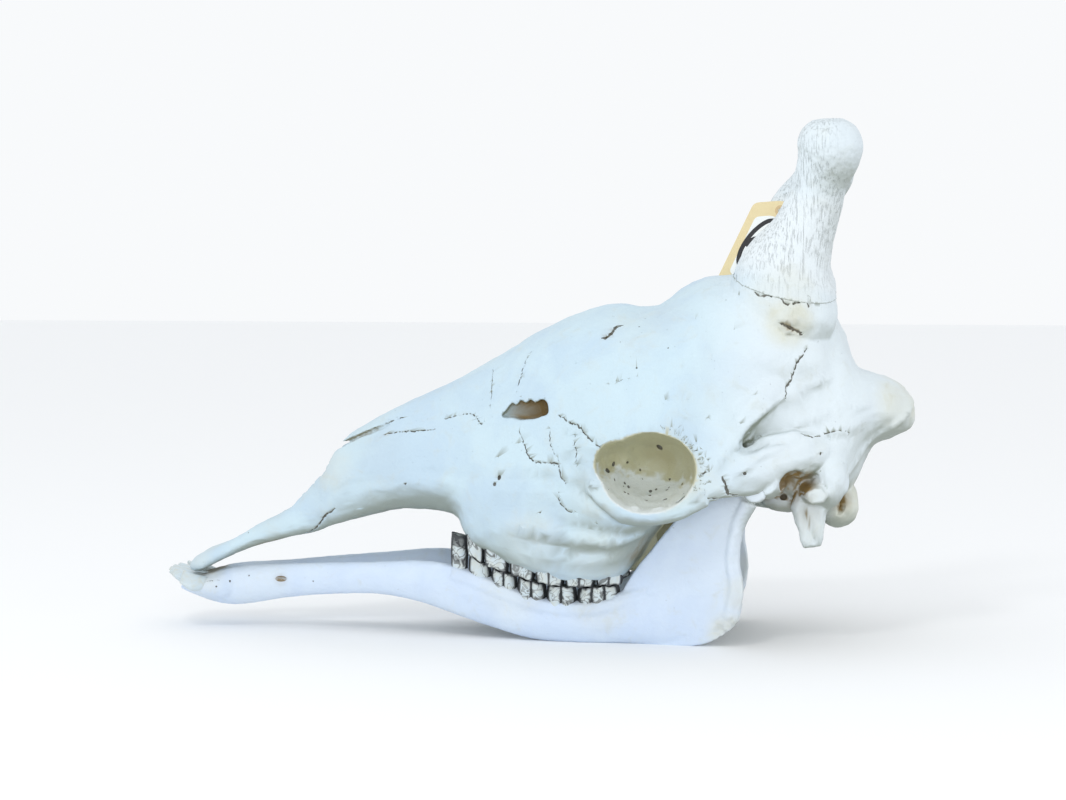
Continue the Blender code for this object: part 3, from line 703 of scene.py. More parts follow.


# Cranium: lofted masses fused into one skin, carved, then given seams, pits, stains and painted light and
# shade

cranium = {
    "voxel": 1.4, "coarseVoxel": 2.6, "softness": 15, "edgeSoftness": 3, "faces": 94000, "coarseFaces": 50000,
    # places of (x, y, z, radius, strength), swell everywhere, size of the lumps and seed
    "rough": [
        ([], 1.1, 32, 8),
        ([
            (330, 0, 212, 40, 0.9), (228, -94, 290, 16, 2.2), (250, -74, 146, 34, 1.2),
            (225, -80, 140, 26, 2.0), (104, -92, 132, 34, 1.6), (72, -92, 156, 20, 1.6),
            (246, -70, 110, 30, 1.0)], 0.2, 8, 3)],
    # x, height of the roof, six points (half width, height) down the left side, height of the base
    "sections": [
        (-328, 61, (8, 61), (17, 61), (23, 59), (23, 55), (18, 53), (9, 52), 52),
        (-319, 69, (10, 69), (23, 68), (29, 63), (29, 57), (23, 54), (11, 53), 53),
        (-298, 78, (12, 78), (25, 77), (30, 72), (30, 67), (25, 65), (13, 64), 64),
        (-271, 93, (12, 93), (23, 92), (28, 86), (28, 80), (23, 76), (13, 75), 75),
        (-237, 113, (12, 113), (20, 111), (27, 102), (28, 92), (24, 86), (14, 85), 85),
        (-207, 146, (12, 147), (23, 142), (30, 125), (31, 105), (26, 93), (14, 91), 92),
        (-190, 172, (14, 171), (23, 163), (32, 146), (34, 120), (27, 100), (14, 98), 98),
        (-160, 193, (17, 191), (29, 178), (39, 157), (41, 131), (31, 110), (15, 106), 107),
        (-125, 211, (20, 208), (34, 192), (45, 166), (48, 138), (35, 118), (17, 114), 116),
        (-90, 227, (24, 222), (42, 202), (55, 172), (59, 140), (43, 117), (20, 113), 118),
        (-74, 235, (28, 229), (48, 207), (60, 175), (64, 140), (51, 113), (29, 108), 117),
        (-62, 242, (31, 235), (52, 211), (65, 179), (70, 139), (62, 95), (37, 91), 114),
        (-45, 251, (36, 244), (58, 217), (72, 183), (79, 138), (70, 86), (39, 86), 112),
        (-15, 270, (48, 260), (70, 230), (84, 190), (89, 138), (76, 73), (41, 72), 108),
        (20, 289, (58, 276), (82, 242), (97, 198), (97, 140), (80, 64), (43, 64), 106),
        (50, 300, (66, 285), (93, 248), (112, 205), (105, 138), (81, 63), (43, 63), 106),
        (75, 304, (72, 288), (102, 250), (122, 207), (114, 136), (79, 65), (42, 65), 107),
        (93, 301, (76, 286), (107, 250), (126, 206), (119, 132), (72, 80), (39, 78), 109),
        (112, 304, (77, 289), (109, 252), (126, 204), (121, 132), (64, 104), (38, 102), 113),
        (130, 319, (76, 298), (110, 256), (124, 200), (119, 137), (55, 122), (36, 116), 118),
        (150, 328, (72, 310), (106, 262), (117, 195), (106, 152), (50, 132), (32, 122), 121),
        (170, 330, (70, 316), (99, 270), (110, 210), (100, 174), (54, 136), (30, 123), 121),
        (205, 334, (70, 322), (98, 278), (97, 228), (90, 184), (54, 138), (30, 121), 119),
        (232, 329, (68, 316), (93, 272), (90, 230), (84, 184), (62, 135), (30, 117), 116),
        (254, 313, (58, 304), (82, 265), (80, 228), (78, 184), (65, 138), (32, 117), 115),
        (266, 297, (48, 290), (70, 258), (75, 225), (78, 185), (66, 142), (34, 119), 117),
        (277, 278, (44, 272), (64, 250), (72, 222), (74, 185), (59, 148), (30, 128), 124),
        (288, 249, (36, 248), (56, 240), (68, 216), (66, 189), (50, 160), (26, 146), 141),
        (303, 241, (28, 240), (47, 232), (56, 215), (53, 197), (40, 182), (20, 175), 173),
        (322, 235, (20, 234), (36, 227), (44, 213), (42, 199), (31, 188), (15, 184), 183),
        (336, 222, (11, 222), (22, 216), (27, 207), (25, 199), (17, 192), (8, 190), 190),
        (342, 209, (4, 209), (8, 207), (10, 204), (8, 201), (6, 199), (3, 198), 198),
    ],
}

horns = {
    "left": [
        (226, 56, 258, 26, 34), (224, 57, 288, 38, 46), (222, 59, 319, 37, 47), (225, 61, 337, 33, 42),
        (231, 63, 352, 29, 36), (241, 66, 373, 25, 28), (250, 70, 398, 22, 25), (255, 73, 416, 22, 24),
        (261, 76, 433, 25, 27), (263, 77, 447, 27, 29), (264, 78, 458, 25, 26), (265, 78, 466, 18, 19),
        (265, 78, 470, 8, 9),
    ],
    "right": [
        (226, 56, 258, 26, 34), (224, 57, 288, 38, 46), (221, 59, 319, 38, 49), (223, 61, 337, 35, 45),
        (227, 63, 352, 31, 39), (233, 65, 373, 27, 34), (241, 68, 393, 23, 30), (252, 71, 410, 23, 26),
        (259, 73, 423, 26, 27), (260, 74, 435, 28, 27), (259, 75, 446, 24, 24), (256, 75, 453, 12, 14),
    ],
    "suture": (222, 60, 322), "fallOut": 0.28, "fallBack": 0.22,  # point and slopes of the plane at the foot
    "voxel": 1.1, "coarseVoxel": 2.2, "softness": 6, "faces": 36000, "coarseFaces": 12000,
    "rough": [(258, 76, 445, 40, 0.55)], "swell": 0.22, "lump": 8, "seed": 6,
    "grain": {"scale": (1, 1, 0.07), "turn": (0, -12, 0), "size": 620, "shade": 0.26},
}


def hornForm(name, side):
    rows = horns["left" if side < 0 else "right"]
    path = [(x, side * y, z, across, along) for x, y, z, across, along in rows]
    return limb(name, path, up=(1, 0, 0), around=5)


def craniumForms():
    vault = loft("vault", [mirroredRing(*row) for row in cranium["sections"]], along=8, around=5)
    post = limb("postorbital", [
        (150, -82, 240, 20, 24), (158, -97, 212, 16, 28), (162, -107, 184, 12, 27), (160, -112, 160, 9, 22),
        (152, -114, 139, 6, 14)], up=(1, 0, 0))
    brow = limb("temporalLine", [
        (150, -102, 176, 10, 18), (170, -101, 196, 11, 20), (190, -94, 218, 11, 20), (212, -87, 238, 11, 18),
        (236, -76, 252, 10, 14)], up=(-0.7, 0, 0.7))
    rim = limb("lowerRim", [
        (34, -80, 160, 10, 16), (60, -98, 143, 12, 16), (86, -111, 127, 10, 14), (110, -118, 124, 8, 11),
        (135, -120, 129, 6, 10), (155, -118, 140, 6, 10)])
    arch = limb("cheekArch", [
        (140, -117, 138, 6, 9), (166, -114, 150, 7, 14), (190, -106, 158, 11, 21), (214, -94, 168, 15, 23),
        (238, -80, 175, 17, 22), (256, -68, 178, 14, 20)])
    ridge = limb("cheekRidge", [
        (0, -78, 100, 8, 10), (40, -84, 98, 8, 10), (80, -91, 107, 9, 10), (112, -100, 122, 8, 9)])
    tuber = ball("tuber", (91, -46, 86), (19, 13, 24))
    side = bothSides([post, brow, rim, arch, ridge, tuber, *rearForms()])
    return [vault, hornForm("pedestal", -1), hornForm("pedestalRight", 1)] + side


def rearForms():  # left masses round the ear, the joint of the neck and the plates behind the palate
    condyle = ball("condyle", (272, -27, 124), (20, 17, 22), (0, -20, 20))
    bulla = ball("bulla", (222, -47, 132), (22, 14, 14), (0, 10, 0))
    ear = limb("earTube", [(246, -64, 140, 10, 9), (252, -80, 138, 10, 9), (253, -90, 137, 9, 8)])
    mastoid = ball("mastoid", (264, -66, 150), (16, 18, 26))
    process = limb("process", [
        (250, -64, 142, 9, 14), (247, -66, 126, 7, 17), (248, -67, 110, 5, 13), (249, -67, 97, 4, 11),
        (250, -67, 88, 2, 9)], up=(1, 0, 0))
    joint = limb("jawJoint", [(208, -66, 146, 18, 13), (207, -88, 147, 18, 13), (205, -104, 150, 14, 12)])
    plate = limb("palatePlate", [
        (90, -26, 112, 4, 18), (110, -26, 108, 3.5, 22), (135, -26, 108, 3.2, 20), (165, -27, 118, 4, 14)])
    return [condyle, bulla, ear, mastoid, process, joint, plate]


sockets = [  # centre, radii and turn about Y of the two balls that cut the left eye socket
    ((106, -124, 160), (42, 66, 35), -8), ((82, -124, 166), (24, 54, 22), 0)]

openings = {
    # x, z of the tear gap, whose upper edge is toothed
    "tearGap": [
        (-29, 204), (-24, 211), (-19, 217), (-15, 215), (-11, 220), (-6, 217), (-2, 221), (3, 218), (8, 221),
        (14, 218), (15, 209), (6, 204), (-6, 202), (-18, 203)],
}


def craniumCutters():
    nose = loft("nose", [
        mirroredRing(-330, 115, (17, 112), (19, 90), (16, 66), 64),
        mirroredRing(-300, 135, (17, 130), (20, 100), (16, 76), 74),
        mirroredRing(-260, 165, (17, 160), (19, 120), (17, 93), 90),
        mirroredRing(-221, 205, (18, 200), (21, 138), (17, 103), 101),
        mirroredRing(-203, 205, (20, 190), (24, 145), (18, 108), 106),
        mirroredRing(-188, 178, (12, 174), (25, 145), (20, 113), 111),
        mirroredRing(-130, 200, (18, 190), (34, 155), (24, 126), 122),
        mirroredRing(-92, 204, (12, 196), (22, 165), (14, 140), 136),
    ], around=5)
    slit = limb("tipSlit", [
        (-335, 0, 60, 3.5, 30), (-300, 0, 70, 6, 30), (-270, 0, 80, 9, 30), (-240, 0, 90, 5, 30)])
    notch = limb("nasalNotch", [
        (-202, -12, 165, 8, 2.8), (-185, -19, 173, 7, 2.5), (-165, -24, 182, 6, 2.0),
        (-146, -27, 190, 5, 1.5), (-126, -29, 198, 4, 0.9)])
    eyes = [ball("socket", centre, radii, (0, turn, 0)) for centre, radii, turn in sockets]
    temple = ball("temple", (220, -130, 204), (51, 35, 17), (0, -36, 0))
    passage = ball("passage", (172, -83, 140), (20, 11, 45))
    tearGap = slab("tearGap", openings["tearGap"], 26, -80, 0, 0)
    ear = ball("earHole", (232, -92, 150), (13, 16, 12), (0, -20, 0))
    choana = limb("choana", [
        (80, 0, 118, 15, 14), (110, 0, 128, 16, 20), (150, 0, 118, 15, 14), (170, 0, 108, 14, 10)])
    cord = limb("cordHole", [(225, 0, 143, 14, 12), (262, 0, 143, 15, 14), (305, 0, 142, 17, 17)], around=5)
    return [nose, slit, choana, cord] + bothSides([notch, *eyes, temple, passage, tearGap, ear])


relief = {  # height, half width and points of raised lines and soft grooves, on both sides
    "lines": [
        (2.2, 7, [
            (167, -120, 169), (182, -108, 190), (199, -100, 208), (221, -92, 224), (245, -86, 234),
            (263, -76, 241)]),
        (2.4, 5, [(176, -108, 182), (188, -98, 186), (205, -98, 189), (222, -96, 191), (238, -92, 193)]),
        (2.4, 6, [(184, -116, 160), (192, -114, 165), (200, -112, 172), (211, -109, 178), (221, -105, 182)]),
        (4.0, 7, [
            (-20, -86, 106), (17, -91, 102), (39, -93, 96), (62, -96, 94), (78, -97, 94),
            (100, -98, 101)]),
        (-2.5, 6, [(0, -86, 92), (20, -88, 90), (44, -90, 84), (70, -92, 84)]),
        (2.4, 7, [(337, -15, 218), (327, -37, 201), (310, -44, 186), (292, -54, 164), (278, -67, 141)]),
        (-1.4, 8, [(150, -118, 176), (164, -116, 186), (180, -108, 205), (196, -102, 224)]),
        (-3.2, 5, [(242, -74, 120), (247, -73, 108), (250, -71, 96)]),
        (3.2, 4, [
            (58, -102, 149), (66, -105, 141), (77, -110, 133), (96, -116, 125), (114, -119, 122),
            (139, -119, 130),
            (152, -118, 142)]),
        (-3.4, 6, [(46, -100, 140), (62, -103, 131), (76, -107, 122), (98, -110, 112), (120, -110, 113)]),
        (1.8, 3.5, [(42, -106, 194), (42, -108, 180), (45, -106, 164), (54, -103, 152)]),
        (-1.4, 4, [(34, -104, 190), (34, -105, 176), (36, -103, 162)]),
        (-1.8, 5, [(10, -92, 116), (34, -95, 108), (58, -97, 105), (80, -98, 106)]),
        (1.5, 6, [(-44, -78, 150), (-20, -84, 158), (6, -92, 160)]),
        (-1.6, 6, [(196, -104, 176), (214, -100, 182), (234, -92, 184)]),
        (2.0, 6, [(232, -92, 196), (250, -84, 206), (272, -72, 212), (296, -58, 216)]),
        (-1.8, 7, [(244, -84, 178), (262, -74, 186), (282, -64, 190)]),
        (-5, 4, [(276, -43, 140), (277, -44, 128), (275, -43, 118)]),
        (-1.2, 12, [(-60, -62, 222), (-30, -66, 232), (0, -72, 244), (30, -82, 252)]),
        (-1.5, 10, [(-100, -50, 150), (-60, -68, 150), (-20, -86, 150), (20, -98, 152)]),
        (1.2, 9, [(-200, -33, 132), (-160, -42, 150), (-120, -48, 166), (-80, -58, 176)]),
    ],
}


def raiseLines(obj, lines):
    skin = skinOf(obj)
    places, normals = readPoints(obj.data)
    shift = np.zeros(len(places))
    for height, half, points in lines:
        for side in (-1, 1):
            keys = np.array([(x, y * -side, z, 0) for x, y, z in points], float)
            path = onSkin(skin, smoothThrough(keys, 18, closed=False))
            shift += height * nearness(obj, path, 0, half) ** 1.5
    writePoints(obj.data, places + normals * shift[:, None])


seams = {
    "step": 1.7, "wander": 0.75, "seed": 4,
    # width and points of each seam on the left side
    "jagged": [
        (0.9, [
            (-220, -26, 89), (-215, -25, 90), (-208, -27, 95), (-202, -30, 102), (-197, -31, 108),
            (-188, -33, 115)]),
        (0.6, [(-143, -27, 192), (-134, -28, 196), (-124, -29, 199)]),
        (0.5, [(-144, -32, 183), (-127, -36, 186), (-110, -42, 188), (-93, -47, 190)]),
        (0.5, [(-85, -46, 199), (-71, -51, 203), (-57, -58, 205), (-48, -66, 197), (-45, -67, 200)]),
        (0.4, [(-40, -40, 245), (-40, -57, 224), (-40, -66, 207)]),
        (0.4, [(-2, -54, 264), (-10, -63, 248), (-14, -69, 232), (-16, -73, 223)]),
        (0.6, [
            (-12, -84, 193), (-8, -88, 184), (-3, -91, 172), (3, -93, 166), (13, -97, 165), (24, -100, 165),
            (27, -100, 154), (33, -101, 145)]),
        (0.55, [(26, -98, 139), (26, -97, 131), (34, -97, 122), (43, -99, 121)]),
        (0.5, [(17, -96, 196), (18, -98, 181), (26, -101, 167)]),
        (0.45, [(40, -107, 194), (42, -108, 178), (42, -107, 164)]),
        (0.7, [
            (25, -97, 208), (34, -103, 203), (43, -109, 200), (50, -112, 193), (56, -115, 187),
            (66, -117, 180)]),
        (1.3, [(62, -82, 275), (69, -83, 277), (73, -78, 282), (76, -74, 286), (81, -75, 286)]),
        (0.6, [(152, -121, 159), (156, -121, 160), (160, -121, 162)]),
        (1.1, [(171, -120, 158), (174, -117, 147), (178, -117, 140), (186, -117, 137)]),
        (0.6, [(158, -122, 138), (165, -118, 137), (172, -117, 135)]),
        (0.75, [
            (244, -88, 268), (237, -91, 258), (234, -92, 253), (231, -91, 243), (227, -91, 236),
            (224, -89, 225)]),
        (0.45, [(238, -90, 193), (249, -88, 190), (269, -77, 194), (282, -71, 193)]),
        (0.8, [
            (197, -90, 317), (203, -92, 314), (210, -94, 316), (216, -95, 320), (221, -96, 317),
            (223, -96, 309), (229, -95, 307), (235, -94, 309), (242, -92, 314), (245, -91, 304)]),
        (1.2, [(220, -95, 291), (226, -94, 288), (232, -93, 285), (240, -89, 280)]),
        (0.25, [(66, -108, 235), (78, -112, 240), (96, -113, 246)]),
    ],
    "pits": [
        (113, -69, 177, 3.2), (68, -85, 158, 2.4), (74, -77, 163, 2.2), (83, -67, 164, 1.7),
        (119, -90, 134, 2.6),
        (95, -60, 156, 1.4), (105, -72, 139, 1.5), (190, -115, 160, 1.5), (256, -86, 175, 1.4),
        (249, -88, 190, 1.0),
        (224, -61, 133, 4.0), (95, -77, 287, 1.1), (99, -60, 294, 0.9), (95, -107, 251, 0.9),
        (122, -102, 269, 0.8),
        (222, -95, 290, 1.6), (229, -94, 287, 2.2), (238, -90, 282, 1.4), (-272, -25, 90, 0.9),
        (-120, -48, 140, 1.1),
        (-30, -84, 150, 2.4), (-34, -82, 144, 1.5), (8, -92, 120, 0.9), (60, -100, 112, 0.8),
    ],
    "spread": 0.3,
    "rays": {
        "middle": (106, 162), "out": 121, "start": 44, "length": (4, 12), "flat": 0.86, "tuck": 0.12,
        "jitter": 3, "from": -28, "to": 78, "count": 34, "width": 0.33, "seed": 11},
    "pores": {"count": 150, "sizes": (0.3, 0.6), "seed": 5},
    "floorPits": {"count": 60, "sizes": (0.7, 1.7), "seed": 6},
}


def socketRays(skin):  # short fine grooves that fan out behind and above the eye socket
    look, out = seams["rays"], []
    draw, fan = random.Random(look["seed"]), look["to"] - look["from"]
    x0, z0 = look["middle"]
    for side in (-1, 1):
        for index in range(look["count"]):
            turn = math.radians(look["from"] + fan * (index + draw.random()) / look["count"])
            near = look["start"] * (1 - look["tuck"] * abs(math.sin(turn))) + draw.uniform(0, look["jitter"])
            far = near + draw.uniform(*look["length"])
            keys = []
            for r in np.linspace(near, far, 6):
                x, z = x0 + r * math.cos(turn), z0 + r * math.sin(turn) * look["flat"]
                keys.append((x, side * look["out"], z, look["width"]))
            out.append(onSkin(skin, keys))
    return out


def strewnPits(places, look, where):  # pits at random points of the skin that pass a test
    draw, out = random.Random(look["seed"]), []
    while len(out) < look["count"]:
        place = places[draw.randrange(len(places))]
        if where(*place):
            out.append((*place, draw.uniform(*look["sizes"])))
    return out


def fromEye(x, z, middle, radii):  # 1 on an ellipse round the eye socket, seen from the side
    return ((x - middle[0]) / radii[0]) ** 2 + ((z - middle[1]) / radii[1]) ** 2


def onSocketFloor(x, y, z):
    return 66 < x < 145 and 55 < abs(y) < 116 and z < 150 and fromEye(x, z, (106, 160), (42, 36)) < 1.1


def onBrow(x, y, z):
    onOuterSkin = abs(y) > 60 or z > 240
    return -60 < x < 200 and z > 150 and onOuterSkin and fromEye(x, z, (106, 162), (46, 42)) > 1


stainsAndShade = {  # x, y, z, radius and strength of soft stained places, the brown ones made stronger in closed-in places as painted shade; those with y are on both sides
    "hollowShade": 1.0,  # share of painted shade in the hollows
    "brown": [
        (143, -98, 168, 26, 0.5), (118, -70, 176, 26, 0.2), (-165, -18, 183, 26, 0.35),
        (-192, -10, 168, 20, 0.3),
        (232, -84, 146, 26, 1.2), (222, -66, 134, 28, 1.2), (246, -74, 120, 16, 1.0),
        (240, -80, 134, 18, 1.1),
        (277, -40, 128, 13, 1.3), (212, -84, 138, 18, 0.9),
        (-250, 0, 95, 40, 0.5), (-190, 0, 130, 50, 0.75), (-140, 0, 150, 60, 0.8), (120, 0, 118, 50, 0.6),
        (172, -83, 140, 40, 0.7), (265, 0, 143, 34, 0.7), (90, -80, 88, 22, 0.45), (229, -94, 288, 12, 0.6),
        (68, -80, 280, 9, 0.4), (-318, -10, 52, 16, 0.25),
    ],
    "beige": [
        (276, -27, 122, 34, 1.0), (334, 0, 212, 44, 0.7), (318, -34, 214, 30, 0.6), (228, -95, 292, 30, 0.9),
        (222, -90, 310, 40, 0.35), (150, -118, 150, 30, 0.2), (60, -108, 140, 30, 0.2),
        (-320, -16, 66, 26, 0.35),
        (60, -86, 82, 40, 0.3), (0, -80, 92, 40, 0.25), (254, -88, 138, 16, 0.3), (-190, -28, 150, 26, 0.3),
        (100, -75, 295, 50, 0.12), (245, -67, 110, 26, 0.3),
    ],
}


def buildHorn(name, side):
    horn = hornForm(name, side)
    remesh(horn, horns["voxel"])
    blur(horn, horns["softness"])
    carve(horn, [sutureBlock(side)])
    roughen(horn, horns["rough"], horns["swell"], horns["lump"], horns["seed"] + side)
    thinOut(horn, horns["faces"])
    return horn


def sutureBlock(side):  # everything under the plane that parts a horn from the skull
    x, y, z = horns["suture"]
    normal = Vector((horns["fallBack"], side * horns["fallOut"], 1)).normalized()
    shape = bmesh.new()
    bmesh.ops.create_cube(shape, size=1)
    turn = normal.to_track_quat("Z", "X").to_matrix().to_4x4()
    place = Matrix.Translation(Vector((x, side * y, z)) * mm) @ turn
    size = 0.4
    shape.transform(place @ Matrix.Translation((0, 0, -size / 2)) @ Matrix.Scale(size, 4))
    return fromBmesh("underHorn", shape)


def buildCranium(neighbours, crevice):
    voxel = cranium["voxel"]
    bone = fuse("craniumBone", craniumForms(), voxel, cranium["softness"])
    report("cranium fused")
    carve(bone, craniumCutters())
    remesh(bone, voxel)
    blur(bone, cranium["edgeSoftness"])
    thinOut(bone, cranium["faces"])
    report("cranium carved")
    raiseLines(bone, relief["lines"])
    for look in cranium["rough"]:
        roughen(bone, *look)
    carve(bone, [swollenCopy(piece, gap) for piece in neighbours])
    keepLargest(bone)
    skin = skinOf(bone)
    paths = skinPaths(skin, seams["jagged"]) + socketRays(skin)
    places, _ = readPoints(bone.data)
    pits = [tuple(row) for pit in seams["pits"] for row in skinRows(skin, pit)]
    pits += strewnPits(places, seams["pores"], onBrow)
    pits += strewnPits(places, seams["floorPits"], onSocketFloor)
    cutSeams(bone, paths, seams, crevice)
    cutPits(bone, pits, seams, crevice)
    report("cranium seams cut")
    return bone, skin


def skinRows(skin, pit):
    x, y, z, size = pit
    return onSkin(skin, [(x, y, z, size), (x, -y, z, size)])


# painted shade on the upper and back walls of the eye sockets, with a faint share on their floor, and a faint
# olive halo behind them
socketShade = {
    "wall": (1.015, 1.05),  # shares of the sockets' radii between which their inside ends
    "edge": 149, "edgeFront": 112, "edgeRun": 60, "edgeSlope": 0.22,  # its lower edge climbs to the front
    "wave": 9, "blur": 3, "floor": 0.12, "halo": 0.2, "haloReach": (1.04, 1.22), "haloFront": (100, 130),
}


def inSockets(places):  # 1 in the eye sockets, and painted shade that is 1 on their upper and back walls alone, with a faint olive halo behind them
    look = socketShade
    left = places.copy()
    left[:, 1] = -abs(left[:, 1])
    inside = np.zeros(len(places))
    for middle, radii, turn in sockets:
        away = left - middle
        c, s = math.cos(math.radians(turn)), math.sin(math.radians(turn))
        away = np.column_stack([c * away[:, 0] - s * away[:, 2], away[:, 1], s * away[:, 0] + c * away[:, 2]])
        inside = np.maximum(inside, 1 - ease(*look["wall"], np.linalg.norm(away / radii, axis=1)))
    edge = look["edge"] + np.clip(look["edgeFront"] - left[:, 0], 0, look["edgeRun"]) * look["edgeSlope"]
    for i in np.flatnonzero(inside):
        edge[i] += look["wave"] * noise.fractal(Vector(places[i]) / look["wave"], 0.7, 2.0, 4)
    middle, radii, _ = sockets[0]
    halo = look["halo"] * (1 - ease(*look["haloReach"], np.linalg.norm((left - middle) / radii, axis=1)))
    above = ease(-look["blur"], look["blur"], left[:, 2] - edge)
    wall = inside * (look["floor"] + (1 - look["floor"]) * above)
    return inside, np.maximum(halo * ease(*look["haloFront"], left[:, 0]), wall)


fades = {  # where each field starts and is full, in mm, and where it starts to end and is gone
    "gapX": (-28, -6, 17, 20), "gapY": (50, 60), "gapZ": (200, 203, 222, 225), "gapDeep": (1.5, 4),
    "palateX": (58, 66, 120, 150), "palateY": (57, 60), "palateZ": (50, 60, 120, 130),
    "underZ": (55, 80), "whiteRise": (290, 340), "whiteTop": (390, 440), "whiteRear": (120, 230),
    "grainRise": (-22, 42), "grainAside": (48, 70), "seamDepth": (0.15, 0.4),
    # shares: how closed in a brown place is, and how far a face looks down
    "closedIn": (0.14, 0.4), "facesDown": (0.0, 0.7),
}
closeness = {"reach": 60, "rays": 14, "coarseRays": 6, "seed": 7}  # rays that find how closed in a place is
hornFoot = (226, 60)  # x and y at the middle of a horn's foot


def window(edges, values):  # 1 between two soft edges
    return ease(*edges[:2], values) * (1 - ease(*edges[2:], values))


def inTearGap(x, y, z):  # 1 on the inner walls of the tear gap, stronger to the rear
    skinAt = 77 + (x + 15) * 0.43 + (212 - z) * 0.35  # a flat plane beside the gap
    side = window(fades["gapX"], x) * window(fades["gapZ"], z)
    return side * ease(*fades["gapDeep"], skinAt - abs(y)) * ease(*fades["gapY"], abs(y))


def inPalate(x, y, z):  # 1 between the rear teeth and in front of the rising plates
    return window(fades["palateX"], x) * (1 - ease(*fades["palateY"], abs(y))) * window(fades["palateZ"], z)


def onHornSkin(x, y, z):  # 1 on a horn and just under its foot
    suture = horns["suture"]
    fallen = (x - suture[0]) * horns["fallBack"] + (abs(y) - suture[1]) * horns["fallOut"]
    aside = np.hypot(x - hornFoot[0], abs(y) - hornFoot[1])
    return ease(*fades["grainRise"], z - suture[2] + fallen) * (1 - ease(*fades["grainAside"], aside))


def writeBoneFields(obj, surround, uncut, look):
    rays = closeness["rays"]
    hollow = hollows(obj, surround, closeness["reach"], rays, closeness["seed"])
    writeField(obj, "seam", sunken(obj, uncut, *fades["seamDepth"]) if uncut else hollow * 0)
    places, normals = readPoints(obj.data)
    x, y, z = places.T
    # brown: stains, made stronger in closed-in places as painted shade, and the tear gap's inner walls
    brown = spots(places, look["brown"]) * (0.15 + 0.85 * ease(*fades["closedIn"], hollow))
    writeField(obj, "brown", np.maximum(brown, inTearGap(x, y, z)))
    writeField(obj, "beige", spots(places, look["beige"]))
    # painted shade on faces that look down, except near the base
    writeField(obj, "under", ease(*fades["facesDown"], -normals[:, 2]) * ease(*fades["underZ"], z))
    inside, socketWall = inSockets(places)
    # painted shade in closed-in places, mostly taken out inside the eye sockets
    writeField(obj, "hollow", hollow * (1 - 0.85 * inside) * look["hollowShade"])
    # painted shade with an olive tint: the eye sockets' upper and back walls, and the palate seen through the
    # gap by the jaw
    writeField(obj, "olive", np.maximum(socketWall, inPalate(x, y, z)))
    # white: whiter bone up the horns and toward the rear, and painted light inside the eye sockets
    rise = ease(*fades["whiteRise"], z + 0.35 * (x - hornFoot[0])) * (1 - 0.75 * ease(*fades["whiteTop"], z))
    writeField(obj, "white", np.maximum.reduce([rise, ease(*fades["whiteRear"], x) * 0.8, inside]))
    writeField(obj, "grain", onHornSkin(x, y, z))


# Lower jaw: made whole, then parted on the midline

jaw = {
    "voxel": 1.2, "coarseVoxel": 2.2, "softness": 12, "faces": 56000, "coarseFaces": 20000,
    "ramus": [
        (70, -1), (135, -1), (161, 5), (178, 18), (187, 37), (189, 56), (184, 80), (186, 106), (196, 128),
        (204, 140), (196, 146), (186, 138), (178, 146), (173, 164), (166, 176), (158, 176), (149, 158),
        (138, 126), (112, 93), (90, 64), (76, 36)],
    "pits": [
        (-210, -29, 46, 0.9), (-290, -26, 44, 1.2), (-272, -25, 50, 0.9), (-301, -33, 40, 1.0),
        (-312, -33, 44, 1.0)],
    "seams": [(0.4, [(-318, -33, 44), (-308, -33, 46), (-298, -31, 46)])],
    # the last entry below leaves the jaws with no painted shade in their hollows
    "step": 1.7, "wander": 0.5, "seed": 9, "spread": 0.3, "hollowShade": 0.0,
    "rough": ([(178, -84, 16, 24, 1.3), (186, -86, 44, 16, 0.6), (-320, -20, 44, 20, 0.5)], 0.2, 9, 5),
    "relief": [
        (1.4, 7, [(176, -86, 30), (180, -88, 56), (177, -88, 80), (181, -90, 104)]),
        (-1.5, 16, [(110, -72, 80), (130, -76, 100), (146, -80, 120)]),
        (1.3, 10, [(96, -74, 60), (112, -76, 84), (132, -78, 116), (148, -80, 146)]),
        (-1.0, 12, [(-60, -58, 34), (-10, -68, 26), (40, -72, 24), (90, -74, 26)]),
        (1.0, 6, [(-90, -50, 66), (-60, -58, 58), (-20, -66, 44), (20, -72, 36), (70, -74, 38)]),
    ],
    # brown places: stains, made stronger in closed-in places as painted shade
    "brown": [
        (178, -84, 16, 18, 0.5), (184, -86, 40, 10, 0.4), (-242, -24, 46, 9, 0.85), (0, -60, 44, 26, 0.35),
        (50, -62, 40, 30, 0.35), (-318, -20, 42, 12, 0.35), (-312, -10, 54, 16, 0.6),
        (-60, -50, 60, 20, 0.35),
    ],
    "beige": [
        (176, -82, 12, 26, 0.55), (186, -86, 50, 20, 0.4), (-312, -20, 44, 24, 0.5), (200, -90, 140, 18, 0.6),
        (60, -66, 38, 40, 0.25), (-20, -60, 46, 40, 0.25), (-262, -16, 40, 40, 0.12),
    ],
}


